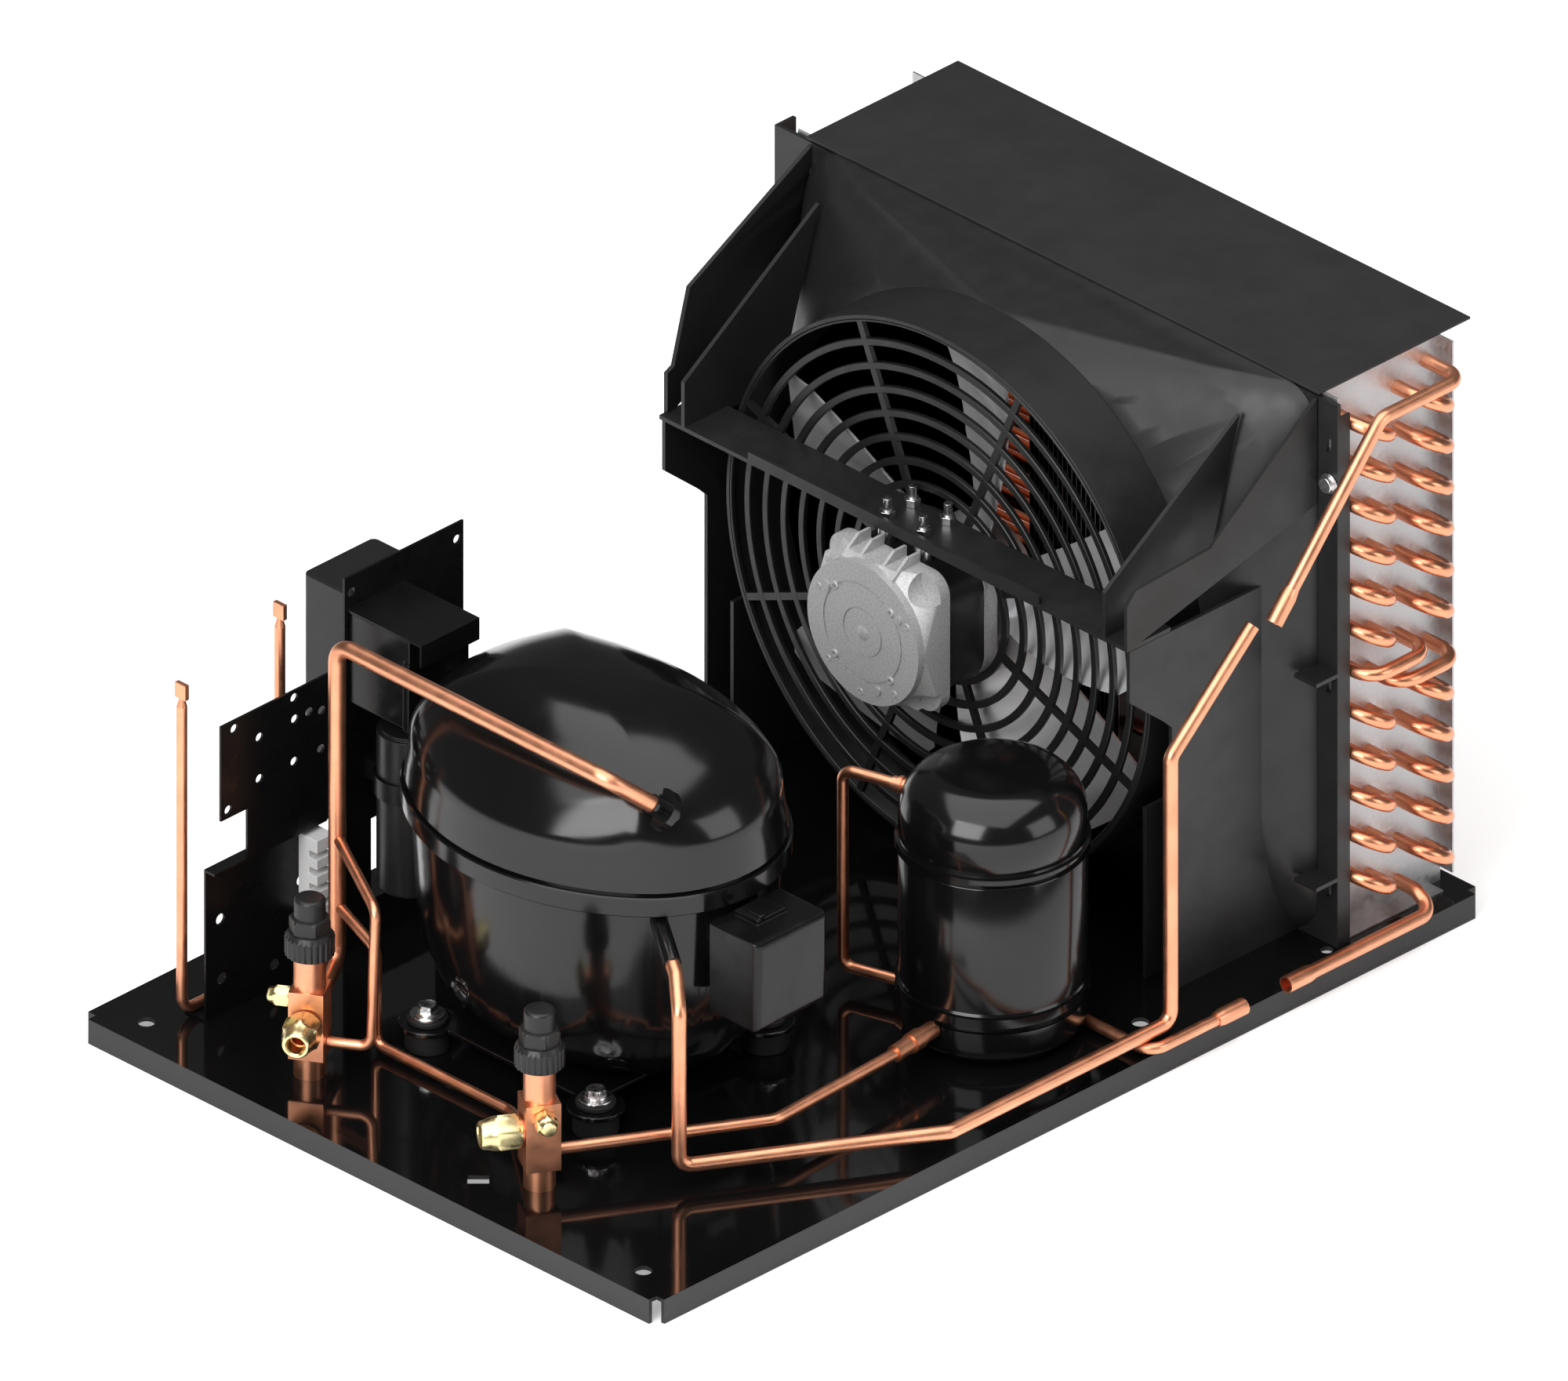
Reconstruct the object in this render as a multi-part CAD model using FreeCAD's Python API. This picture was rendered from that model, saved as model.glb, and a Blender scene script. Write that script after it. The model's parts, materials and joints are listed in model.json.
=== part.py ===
"""Air-cooled refrigeration condensing unit on a sheet-metal base.

The working frame has x = 0 on the outer face of the compressor end of the base,
y = 0 on the outer face of its service side and z = 0 on the surface it stands on.
Each sub-part is moved to the part's own origin, the middle of its box at the
bottom, as it is written.
"""
import FreeCAD, Part
import math
import os

V = FreeCAD.Vector

# Sheet-metal base
SHEET = 2.4
BASE_LENGTH = 625.4
BASE_WIDTH = 436.0
BASE_HEIGHT = 15.0
BASE_NOTCH = 5.8
MOUNT_HOLE = 9.5
MOUNT_INSET_X = 20.0
MOUNT_INSET_Y = 30.0
MOUNT_SPACING_X = 376.0
COIL_HOLE_X = 521.0
COIL_HOLE_Y = 14.0
COIL_HOLE = 7.0
MID_Y = BASE_WIDTH / 2

# Clearances and fits
SHAFT_CLEARANCE = 0.05
SEAT_GAP = 0.3
JOINT_GAP = 0.1

# Finned coil with its end plates and top panel
COIL_FRONT_X = 529.0
COIL_BACK_X = 617.0
COIL_HEIGHT = 352.0
PLATE_THICK = 1.2
PLATE_OUTSET = 194.0
PLATE_FLANGE = 11.5
TUBE = 7.94
TUBE_PITCH = 25.4
ROW_PITCH = 22.0
ROWS = 4
LEVELS = 13
FIRST_TUBE_Z = 28.3
CROSSOVER_LEVEL = 6
CROSSOVER_Y = -1.1
FIN_END_Y = 250.0
BEND_LEG = 10.5
HAIRPIN_LEG = 3.0
PANEL_FRONT_X = 525.0
PANEL_BACK_X = 640.0
PANEL_THICK = 1.5
PIPE_OVERHANG = 7.0
GAS_INLET_Z = 340.5
RUN_Y = -PIPE_OVERHANG + TUBE / 2
RUN_Z = 20.0
GAS_END = (464.0, RUN_Y, 247.0)
LIQUID_END = (473.0, RUN_Y, RUN_Z)
INLET_END = (441.0, RUN_Y, RUN_Z)

# Fan, its guard and its shroud
FAN_Z = 187.5
RING_RADIUS = 158.0
RING_FRONT_X = 431.0
WALL = 2.5
HOOD_HALF_WIDTH = 192.0
HOOD_TOP = 350.0
FRAME_FRONT_X = COIL_FRONT_X - SEAT_GAP - WALL
HOOD_FRONT_X = FRAME_FRONT_X - 53.0
MOUTH_HALF_HEIGHT = 166.6
MOUTH_Z = 183.0
MOUTH_CORNER = 22.0
FRAME_NEAR = 207.0
FRAME_FAR = 219.0
NEAR_LIP = 9.5
FAR_LIP = 14.0
SCREW_RADIUS = 2.0
SCREW_INSET = 6.0
SCREW_Z = 300.0
SIDE_WALL_OUTSET = 177.0
INNER_WALL_OUTSET = 157.2
GUARD_PITCH = 13.6
GUARD_BAR = 4.2
GUARD_THICK = 3.0
GUARD_RINGS = 9
GUARD_SPOKES = 8
FAN_RADIUS = 150.0
FAN_HUB_RADIUS = 36.0
FAN_BLADES = 5
BLADE_THICK = 1.6

# Motor and its bracket
MOTOR_FACE_X = 374.0
MOTOR_FACE_RADIUS = 42.0
MOTOR_BODY = 84.0
MOTOR_CORNER = 12.0
MOTOR_FLANGE_X = 389.0
POCKET_OFFSET = 37.5
POCKET_RADIUS = 10.5
BOSS_HALF = 6.0
BOSS_TOP = 48.0
STATOR_HALF = MOTOR_BODY / 2 - 3
STATOR_FRONT_X = 398.0
STATOR_BACK_X = 427.0
MOTOR_BACK_X = 438.0
ROTOR_RADIUS = 24.0
SHAFT_RADIUS = 4.0
BRACKET_FRONT_X = 397.0
BRACKET_Z = 238.0
WING_SPREAD = 15.5
STUD_RADIUS = 2.5
STUD_X = (406.0, 425.0)
STUD_OFFSET = 13.5

# Hermetic compressor
COMP_X = 172.5
COMP_HALF_X = 87.0
COMP_HALF_Y = 112.0
COMP_END_RADIUS = 72.0
COMP_SHELL = 3.0
COMP_BOTTOM = 31.0
COMP_SEAM = 162.0
COMP_SHOULDER = 192.0
COMP_TOP = 246.0
COMP_DOME_IN = 75.0
COMP_BOWL_IN = 48.0
COMP_BOWL_TOP = 96.0
COMP_LIP = 5.0
FOOT_X = (108.4, 236.6)
FOOT_Y = (MID_Y - 63.6, MID_Y + 63.6)
FOOT_THICK = 3.0
FOOT_HOLE = 16.0
BOLT = 8.0

# Liquid receiver
RECEIVER_X = 338.0
RECEIVER_Y = 83.5
RECEIVER_RADIUS = 51.0
RECEIVER_TOP = 175.0
RECEIVER_HEAD = 26.0
RECEIVER_BOTTOM = BASE_HEIGHT + 1.0
RECEIVER_HEEL = 12.0

# Service valves: front one for liquid, rear one for suction
VALVE_FRONT = (45.6, 134.2)
VALVE_REAR = (43.0, 305.4)
VALVE_TURN_FRONT = 59.0
VALVE_TURN_REAR = 31.6
VALVE_BODY = 19.3
VALVE_BODY_Z = 28.0
VALVE_BODY_HEIGHT = 41.0
CAP_Z = 88.8
CAP_THREAD = 8.0
GAUGE_Z = 61.0
VALVE_PORT_Z = 50.0
LOW_PORT_Z = 36.0
VALVE_TOP = 124.0
STEM_RADIUS = 4.0
NUT_FLATS = 19.0
GAUGE_RADIUS = 4.0
NUT_TURN_FRONT = VALVE_TURN_FRONT + 90
NUT_TURN_REAR = VALVE_TURN_REAR + 180
PLUG_TURN_FRONT = VALVE_TURN_FRONT + 180
PLUG_TURN_REAR = VALVE_TURN_REAR + 90

# Pipes
DISCHARGE_OD = 8.2
SUCTION_OD = 9.5
LIQUID_OD = 6.6
CONTROL_OD = 6.0
STUB_INNER = (138.0, 125.4, 208.9)
STUB_OUTER = (124.6, 129.0, 220.4)
SUCTION_TURN = (99.4, 135.8, 242.1)
SUCTION_TOP_Z = 245.0
DISCHARGE_STUB = (112.0, 100.0, 138.0)
DISCHARGE_INNER = (130.0, 131.2, 152.4)
DISCHARGE_END = (454.0, 3.2, 247.0)
DISCHARGE_LOW_Z = 27.8
BYPASS_AT = (312.0, 171.0)
SUCTION_REACH = 63.0
BYPASS_OD = 6.35
PIPE_WALL = 0.8

# Control plate, electrical bracket and what they carry
PLATE_SHEET = 1.5
CONTROL_Y = 383.0
CONTROL_UPPER_Y = 376.5
RELAY_X = (149.0, 193.0)
RELAY_Y = (328.4, 383.0)
RELAY_TOP = 225.0
CAPACITOR_RADIUS = 18.5
CAPACITOR_AT = (170.0, 356.0)

# The part's own origin
ORIGIN_X = PANEL_BACK_X / 2
ORIGIN_Y = (BASE_WIDTH - PIPE_OVERHANG) / 2

os.makedirs("parts", exist_ok=True)


def box(x0, x1, y0, y1, z0, z1):
    """Return a block between two corners, given as limits along each axis."""
    corner = V(min(x0, x1), min(y0, y1), min(z0, z1))
    return Part.makeBox(abs(x1 - x0), abs(y1 - y0), abs(z1 - z0), corner)


def rod(radius, start, end):
    """Return a round bar between two points."""
    start, end = V(*start), V(*end)
    return Part.makeCylinder(radius, start.distanceToPoint(end), start, end - start)


def ring(outer, inner, start, end):
    """Return a sleeve between two points."""
    return rod(outer, start, end).cut(rod(inner, start, end))


def mirrored(shape):
    """Return the shape's mirror image about the lengthwise middle plane."""
    return shape.mirror(V(0, MID_Y, 0), V(0, 1, 0))


def both_sides(shape):
    """Return the shape joined with its mirror image."""
    return shape.fuse(mirrored(shape))


def plate_xz(points, y0, y1):
    """Return a flat plate with an outline in x and z, between two values of y."""
    wire = Part.makePolygon([V(x, y0, z) for x, z in points + points[:1]])
    return Part.Face(wire).extrude(V(0, y1 - y0, 0))


def hex_bar(flats, start, end, turn=0.0):
    """Return a hexagonal bar between two points, with its flats a set width apart."""
    start, end = V(*start), V(*end)
    radius = flats / math.sqrt(3)
    corners = []
    for step in range(7):
        angle = math.radians(60 * step + turn)
        corners.append(V(radius * math.cos(angle), radius * math.sin(angle), 0))
    bar = Part.Face(Part.makePolygon(corners)).extrude(V(0, 0, start.distanceToPoint(end)))
    bar.Placement = FreeCAD.Placement(start, FreeCAD.Rotation(V(0, 0, 1), end - start))
    return bar


def elbow(radius, start, heading, centre, turn):
    """Return a round bend, swept from its starting face about a centre."""
    face = Part.Face(Part.Wire(Part.makeCircle(radius, start, heading)))
    axis = heading.cross(centre - start)
    return face.revolve(centre, axis, math.degrees(turn))


def pipe(points, diameter, bend):
    """Return a round pipe, solid along its run: straight runs joined by tangent bends."""
    corners = [V(*point) for point in points]
    radius = diameter / 2
    pieces = []
    start = corners[0]
    for before, corner, after in zip(corners, corners[1:], corners[2:]):
        inward = (corner - before).normalize()
        outward = (after - corner).normalize()
        turn = inward.getAngle(outward)
        setback = bend * math.tan(turn / 2)
        arrive = corner - inward * setback
        inside = (outward - inward * outward.dot(inward)).normalize()
        pieces.append(rod(radius, start, arrive))
        pieces.append(elbow(radius, arrive, inward, arrive + inside * bend, turn))
        start = corner + outward * setback
    pieces.append(rod(radius, start, corners[-1]))
    return pieces[0].fuse(pieces[1:])


def along(start, toward, distance):
    """Return the point at a distance from one point in the direction of another."""
    start, toward = V(*start), V(*toward)
    point = start + (toward - start).normalize() * distance
    return (point.x, point.y, point.z)


def open_end(shape, end, inside, diameter, depth=12.0):
    """Return the pipe with its bore cut back from one open end."""
    stop = along(end, inside, depth)
    start = along(end, inside, -1.0)
    return shape.cut(rod(diameter / 2 - PIPE_WALL, start, stop))


def socket(end, inside, diameter, length=16.0):
    """Return a widened cup on the end of a pipe, open to take another pipe."""
    cup = diameter / 2 + PIPE_WALL + SHAFT_CLEARANCE
    mouth = rod(cup, end, along(end, inside, length))
    bore = rod(diameter / 2 + SHAFT_CLEARANCE, along(end, inside, -1.0), along(end, inside, length - 4))
    start, stop = V(*along(end, inside, length)), V(*along(end, inside, length + 5))
    neck = Part.makeCone(cup, diameter / 2, start.distanceToPoint(stop), start, stop - start)
    return mouth.fuse(neck), bore


def oval(grow, z):
    """Return the compressor's outline at a height, grown outwards by a distance."""
    offset = COMP_HALF_Y - COMP_END_RADIUS
    reach = COMP_HALF_X - COMP_END_RADIUS
    side = (offset ** 2 - reach ** 2) / (2 * reach)
    side_radius = COMP_HALF_X + side + grow
    end_radius = COMP_END_RADIUS + grow
    slope = math.atan2(offset, side)
    corner_x = side_radius * math.cos(slope) - side
    corner_y = side_radius * math.sin(slope)
    half_x = COMP_HALF_X + grow
    half_y = offset + end_radius
    turns = [(corner_x, -corner_y), (half_x, 0), (corner_x, corner_y), (0, half_y)]
    turns += [(-x, -y) for x, y in turns]
    points = [V(COMP_X + x, MID_Y + y, z) for x, y in turns + turns[:1]]
    arcs = [Part.Arc(points[i], points[i + 1], points[i + 2]).toShape() for i in range(0, 8, 2)]
    return Part.Wire(arcs)


def oval_block(grow, z0, z1):
    """Return a solid with the compressor's outline between two heights."""
    return Part.Face(oval(grow, z0)).extrude(V(0, 0, z1 - z0))


def edges_at(shape, z):
    """Return the edges that lie flat at one height."""
    chosen = []
    for edge in shape.Edges:
        limits = edge.BoundBox
        if abs(limits.ZMin - z) < 0.01 and abs(limits.ZMax - z) < 0.01:
            chosen.append(edge)
    return chosen


def eight_edges(x, half_width, half_height, middle_z, radius):
    """Return sides and corner arcs in a fixed order, so that sections match."""
    points = []
    for quadrant in range(4):
        sign_y = (1, -1, -1, 1)[quadrant]
        sign_z = (1, 1, -1, -1)[quadrant]
        centre_y = MID_Y + sign_y * (half_width - radius)
        centre_z = middle_z + sign_z * (half_height - radius)
        for step in range(3):
            angle = math.radians(90 * quadrant + 45 * step)
            points.append(V(x, centre_y + radius * math.cos(angle), centre_z + radius * math.sin(angle)))
    edges = []
    for quadrant in range(4):
        first, middle, last = points[3 * quadrant: 3 * quadrant + 3]
        following = points[(3 * quadrant + 3) % 12]
        edges.append(Part.Arc(first, middle, last).toShape())
        if last.distanceToPoint(following) > 0.01:
            edges.append(Part.LineSegment(last, following).toShape())
    return Part.Wire(edges)


def make_base_plate():
    """A tray upside down: a flat top with four flanges that stand on the floor."""
    tray = box(0, BASE_LENGTH, 0, BASE_WIDTH, 0, BASE_HEIGHT)
    hollow = box(SHEET, BASE_LENGTH - SHEET, SHEET, BASE_WIDTH - SHEET, -1, BASE_HEIGHT - SHEET)
    tray = tray.cut(hollow)
    cuts = []
    for x0, x1 in ((-1, BASE_NOTCH), (BASE_LENGTH - BASE_NOTCH, BASE_LENGTH + 1)):
        for y0, y1 in ((-1, BASE_NOTCH), (BASE_WIDTH - BASE_NOTCH, BASE_WIDTH + 1)):
            cuts.append(box(x0, x1, y0, y1, -1, BASE_HEIGHT + 1))
    holes = []
    for x in (MOUNT_INSET_X, MOUNT_INSET_X + MOUNT_SPACING_X):
        holes += [(x, MOUNT_INSET_Y, MOUNT_HOLE), (x, BASE_WIDTH - MOUNT_INSET_Y, MOUNT_HOLE)]
    holes += [(COIL_HOLE_X, COIL_HOLE_Y, COIL_HOLE), (COIL_HOLE_X, BASE_WIDTH - COIL_HOLE_Y, COIL_HOLE)]
    for x in FOOT_X:
        for y in FOOT_Y:
            holes.append((x, y, BOLT + 2 * JOINT_GAP))
    for x, y, diameter in holes:
        cuts.append(rod(diameter / 2, (x, y, 0), (x, y, BASE_HEIGHT + 1)))
    slot = box(-5.8, 5.8, -4.2, 4.2, 0, BASE_HEIGHT + 1)
    slot.rotate(V(0, 0, 0), V(0, 0, 1), -45)
    slot.translate(V(26.4, 161.3, 0))
    cuts.append(slot)
    return tray.cut(cuts)


def make_top_panel():
    """The flat sheet that closes the coil from above and overhangs its back."""
    half = PLATE_OUTSET
    top = COIL_HEIGHT + PANEL_THICK
    return box(PANEL_FRONT_X, PANEL_BACK_X, MID_Y - half, MID_Y + half, COIL_HEIGHT, top)


def make_end_plate():
    """The channel on the service end of the coil: web, two flanges and foot."""
    web_y = MID_Y - PLATE_OUTSET
    inner_y = web_y + PLATE_THICK
    outer_y = inner_y - PLATE_FLANGE
    foot_z = BASE_HEIGHT
    plate = box(COIL_FRONT_X, COIL_BACK_X, web_y, inner_y, foot_z, COIL_HEIGHT)
    front = box(COIL_FRONT_X, COIL_FRONT_X + PLATE_THICK, outer_y, inner_y, foot_z, COIL_HEIGHT)
    back = box(COIL_BACK_X - PLATE_THICK, COIL_BACK_X, outer_y, inner_y, foot_z + 9, COIL_HEIGHT)
    foot = box(COIL_FRONT_X, COIL_BACK_X - 8, outer_y, inner_y, foot_z, foot_z + PLATE_THICK)
    return plate.fuse([front, back, foot]).cut(screw_holes()).removeSplitter()


def make_fin_pack():
    """The block of aluminium fins, from the service end plate to past the coil's middle."""
    y0 = MID_Y - PLATE_OUTSET + PLATE_THICK
    x0 = COIL_FRONT_X + PLATE_THICK + SEAT_GAP
    x1 = COIL_BACK_X - PLATE_THICK - SEAT_GAP
    return box(x0, x1, y0, FIN_END_Y, BASE_HEIGHT + SEAT_GAP, COIL_HEIGHT - SEAT_GAP)


def tube_centre(row, level):
    """Return the x and z of one tube, with every second row half a pitch lower."""
    x = (COIL_FRONT_X + COIL_BACK_X) / 2 + (row - (ROWS - 1) / 2) * ROW_PITCH
    z = FIRST_TUBE_Z + level * TUBE_PITCH - (row % 2) * TUBE_PITCH / 2
    return x, z


def return_bend(start, end, face_y, reach):
    """Return a U of tube between two tube ends that stands out from a plate."""
    x0, z0 = start
    x1, z1 = end
    turn_y = face_y - reach
    centre = V((x0 + x1) / 2, turn_y, (z0 + z1) / 2)
    legs = [rod(TUBE / 2, (x, face_y, z), (x, turn_y, z)) for x, z in (start, end)]
    return elbow(TUBE / 2, V(x0, turn_y, z0), V(0, -1, 0), centre, math.pi).fuse(legs)


def make_coil_tubes():
    """The bare lengths of the coil's tubes, between the fins and the far end plate."""
    end_y = MID_Y + PLATE_OUTSET - PLATE_THICK
    tubes = []
    for row in range(ROWS):
        lowest = row % 2
        for level in range(lowest, LEVELS + lowest):
            x, z = tube_centre(row, level)
            tubes.append(rod(TUBE / 2, (x, FIN_END_Y, z), (x, end_y, z)))
    return Part.makeCompound(tubes)


def make_front_bends():
    """Return bends on the service side, with two wide crossovers between the circuits."""
    face_y = MID_Y - PLATE_OUTSET
    bends = []
    for level in range(1, LEVELS):
        for row in (0, 2):
            if level == CROSSOVER_LEVEL:
                continue
            start = tube_centre(row, level)
            end = tube_centre(row + 1, level)
            bends.append(return_bend(start, end, face_y, BEND_LEG))
    for row in (0, 1):
        near, z = tube_centre(row, CROSSOVER_LEVEL)
        far = tube_centre(row + 2, CROSSOVER_LEVEL)[0]
        route = [(near, face_y, z), (near, CROSSOVER_Y, z), (far, CROSSOVER_Y, z), (far, face_y, z)]
        bends.append(pipe(route, TUBE, TUBE_PITCH / 2))
    return Part.makeCompound(bends)


def make_back_bends():
    """Hairpin ends on the far side: each joins two levels of one row."""
    face_y = MID_Y - PLATE_OUTSET
    hairpins = []
    for row in range(ROWS):
        for level in range(1, LEVELS - 1, 2):
            start = tube_centre(row, level)
            end = tube_centre(row, level + 1)
            hairpins.append(mirrored(return_bend(start, end, face_y, HAIRPIN_LEG)))
    return Part.makeCompound(hairpins)


def make_gas_inlet():
    """The hot-gas pipe: from the top tube of the back rows, forward and down to its cup."""
    x, z = tube_centre(ROWS - 1, LEVELS - 1)[0], GAS_INLET_Z
    corner = (545.0, RUN_Y, z)
    points = [(x, MID_Y - PLATE_OUTSET, z), (x, RUN_Y, z), corner, GAS_END]
    body = pipe(points, TUBE, 10.0)
    cup, bore = socket(GAS_END, corner, DISCHARGE_OD)
    return body.fuse(cup).cut(bore)


def make_liquid_outlet():
    """The liquid pipe: from the bottom tube of the back rows, forward to its cup."""
    x, z = tube_centre(2, 0)
    corner = (x, RUN_Y, RUN_Z)
    points = [(x, MID_Y - PLATE_OUTSET, z), (x, MID_Y - PLATE_OUTSET - 14, z), corner, LIQUID_END]
    body = pipe(points, TUBE, 9.0)
    cup, bore = socket(LIQUID_END, corner, TUBE)
    return body.fuse(cup).cut(bore)


def hood_skin(grow):
    """Return the hood's outer or inner body, lofted from the duct to the coil's face."""
    duct = RING_RADIUS + grow
    sections = [
        (HOOD_FRONT_X, duct, duct, FAN_Z, duct - 0.01),
        (FRAME_FRONT_X - 22, 178 + grow, 165 + grow, FAN_Z - 3.5, 60 + grow),
        (FRAME_FRONT_X - 7, 188 + grow, 166.3 + grow, FAN_Z - 4.3, 34 + grow),
        (FRAME_FRONT_X, HOOD_HALF_WIDTH - WALL + grow, MOUTH_HALF_HEIGHT + grow, MOUTH_Z, MOUTH_CORNER + grow)]
    wires = [eight_edges(x, half_y, half_z, middle, radius) for x, half_y, half_z, middle, radius in sections]
    return Part.makeLoft(wires, True, True)


def level_with_coil(shape):
    """Return what lies between the base's top and the underside of the top panel."""
    below = box(0, PANEL_BACK_X, -50, BASE_WIDTH + 50, -50, BASE_HEIGHT)
    above = box(0, PANEL_BACK_X, -50, BASE_WIDTH + 50, COIL_HEIGHT - SEAT_GAP, COIL_HEIGHT + 50)
    return shape.cut([below, above])


def make_shroud():
    """The moulded shroud: a round duct and the hood that flares from it to the coil."""
    axis = (MID_Y, FAN_Z)
    duct = ring(RING_RADIUS + WALL, RING_RADIUS, (RING_FRONT_X, *axis), (HOOD_FRONT_X, *axis))
    hood = level_with_coil(hood_skin(WALL).cut(hood_skin(0.0)))
    return Part.makeCompound([duct] + hood.Solids)


def make_shroud_frame():
    """The shroud's flat frame against the coil, with its mouth, lips, ribs and slots."""
    y0, y1 = MID_Y - FRAME_NEAR, MID_Y + FRAME_FAR
    frame = box(FRAME_FRONT_X, FRAME_FRONT_X + WALL, y0, y1, BASE_HEIGHT, HOOD_TOP)
    near_lip = box(FRAME_FRONT_X, FRAME_FRONT_X + NEAR_LIP, y0, y0 + PLATE_THICK, BASE_HEIGHT, HOOD_TOP - 8)
    far_lip = box(FRAME_FRONT_X, FRAME_FRONT_X + FAR_LIP, y1 - WALL, y1, BASE_HEIGHT, HOOD_TOP)
    pieces = [near_lip, far_lip]
    slots = []
    for z in (182.0, 56.0):
        rib = box(FRAME_FRONT_X - 16, FRAME_FRONT_X, y0, y0 + 17, z, z + WALL).cut(hood_skin(WALL))
        pieces += [rib, mirrored(rib)]
    for z in (318.0, 170.0, 44.0):
        slot = box(FRAME_FRONT_X - 1, FRAME_FRONT_X + WALL + 1, y0 + 5, y0 + 9, z, z + 9)
        slots += [slot, mirrored(slot)]
    mouth = eight_edges(FRAME_FRONT_X - 1, HOOD_HALF_WIDTH - WALL, MOUTH_HALF_HEIGHT, MOUTH_Z, MOUTH_CORNER)
    mouth = Part.Face(mouth).extrude(V(WALL + 2, 0, 0))
    return level_with_coil(frame.fuse(pieces).cut([mouth] + slots + screw_holes())).removeSplitter()


def make_shroud_walls():
    """The upright walls beside the duct: two that carry the motor's bracket, and two low ones."""
    front = RING_FRONT_X
    top, ear_x = BRACKET_Z - SEAT_GAP, BRACKET_FRONT_X + 2
    side = [(front, BASE_HEIGHT), (FRAME_FRONT_X, BASE_HEIGHT), (FRAME_FRONT_X, top), (ear_x, top),
            (ear_x, 206), (front - 6, 184), (front, 178)]
    wall_y = MID_Y - SIDE_WALL_OUTSET
    wall = plate_xz(side, wall_y, wall_y + WALL)
    inner_y = MID_Y - INNER_WALL_OUTSET
    inner = box(front, FRAME_FRONT_X - 30, inner_y, inner_y + WALL, BASE_HEIGHT, 120)
    walls = []
    for piece in (wall, inner):
        piece = level_with_coil(piece.cut(hood_skin(WALL)))
        walls += piece.Solids + mirrored(piece).Solids
    return Part.makeCompound(walls)


def screw_places():
    """Return y of the two frame screws, one at each side of the coil."""
    near = MID_Y - FRAME_NEAR + SCREW_INSET
    return near, BASE_WIDTH - near


def screw_holes():
    """Return the clearance holes for the frame screws, through the frame and the end plates."""
    radius = SCREW_RADIUS + JOINT_GAP
    x0, x1 = FRAME_FRONT_X - 1, COIL_FRONT_X + 5
    return [rod(radius, (x0, y, SCREW_Z), (x1, y, SCREW_Z)) for y in screw_places()]


def make_guard():
    """The fan guard: flat rings on eight spokes, set in the mouth of the duct."""
    x0, x1 = RING_FRONT_X, RING_FRONT_X + GUARD_THICK
    axis = (MID_Y, FAN_Z)
    pieces = []
    edge = RING_RADIUS - JOINT_GAP
    for number in range(GUARD_RINGS):
        inner = RING_RADIUS + WALL - number * GUARD_PITCH - GUARD_BAR
        outer = edge if number == 0 else inner + GUARD_BAR
        pieces.append(ring(outer, inner, (x0, *axis), (x1, *axis)))
    for number in range(GUARD_SPOKES):
        spoke = box(x0, x1, MID_Y - GUARD_BAR / 2, MID_Y + GUARD_BAR / 2, FAN_Z + inner + 1, FAN_Z + edge - 1)
        spoke.rotate(V(0, *axis), V(1, 0, 0), 22.5 + 360 / GUARD_SPOKES * number)
        pieces.append(spoke)
    return pieces[0].fuse(pieces[1:]).removeSplitter()


def make_fan():
    """The fan: a cup-shaped hub with twisted blades, driven by the motor shaft."""
    x0, x1 = 446.0, 470.0
    axis = (MID_Y, FAN_Z)
    hub = rod(FAN_HUB_RADIUS, (x0, *axis), (x1, *axis))
    hub = hub.cut(rod(FAN_HUB_RADIUS - 2, (x0 + 3, *axis), (x1 + 1, *axis)))
    boss = rod(9, (x0, *axis), (x1, *axis))
    solid = hub.fuse(boss)
    blades = []
    for number in range(FAN_BLADES):
        blade = fan_blade((x0 + x1) / 2)
        blade.rotate(V(0, *axis), V(1, 0, 0), 360 / FAN_BLADES * number)
        blades.append(blade)
    sweep = rod(FAN_RADIUS, (RING_FRONT_X, *axis), (FRAME_FRONT_X, *axis))
    solid = solid.fuse(blades).common(sweep)
    return solid.cut(rod(SHAFT_RADIUS + SHAFT_CLEARANCE, (x0 - 1, *axis), (x1 + 1, *axis)))


def fan_blade(middle_x):
    """Return one twisted blade that widens from the hub to its tip."""
    sections = []
    for radius, chord, pitch, sweep in ((FAN_HUB_RADIUS - 1, 40, 36, 0), (90, 72, 28, 6),
                                        (FAN_RADIUS + 1, 96, 22, 16)):
        tilt = math.radians(pitch)
        half = chord / 2
        points = []
        for side, face in ((-1, -1), (1, -1), (1, 1), (-1, 1)):
            across = side * half
            thick = face * BLADE_THICK / 2
            x = middle_x + across * math.sin(tilt) + thick * math.cos(tilt)
            y = MID_Y + sweep + across * math.cos(tilt) - thick * math.sin(tilt)
            points.append(V(x, y, FAN_Z + radius))
        sections.append(Part.makePolygon(points + points[:1]))
    return Part.makeLoft(sections, True, False)


def body_outline(x, half, radius):
    """Return a rounded square across the motor axis."""
    return eight_edges(x, half, half, FAN_Z, radius)


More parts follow.
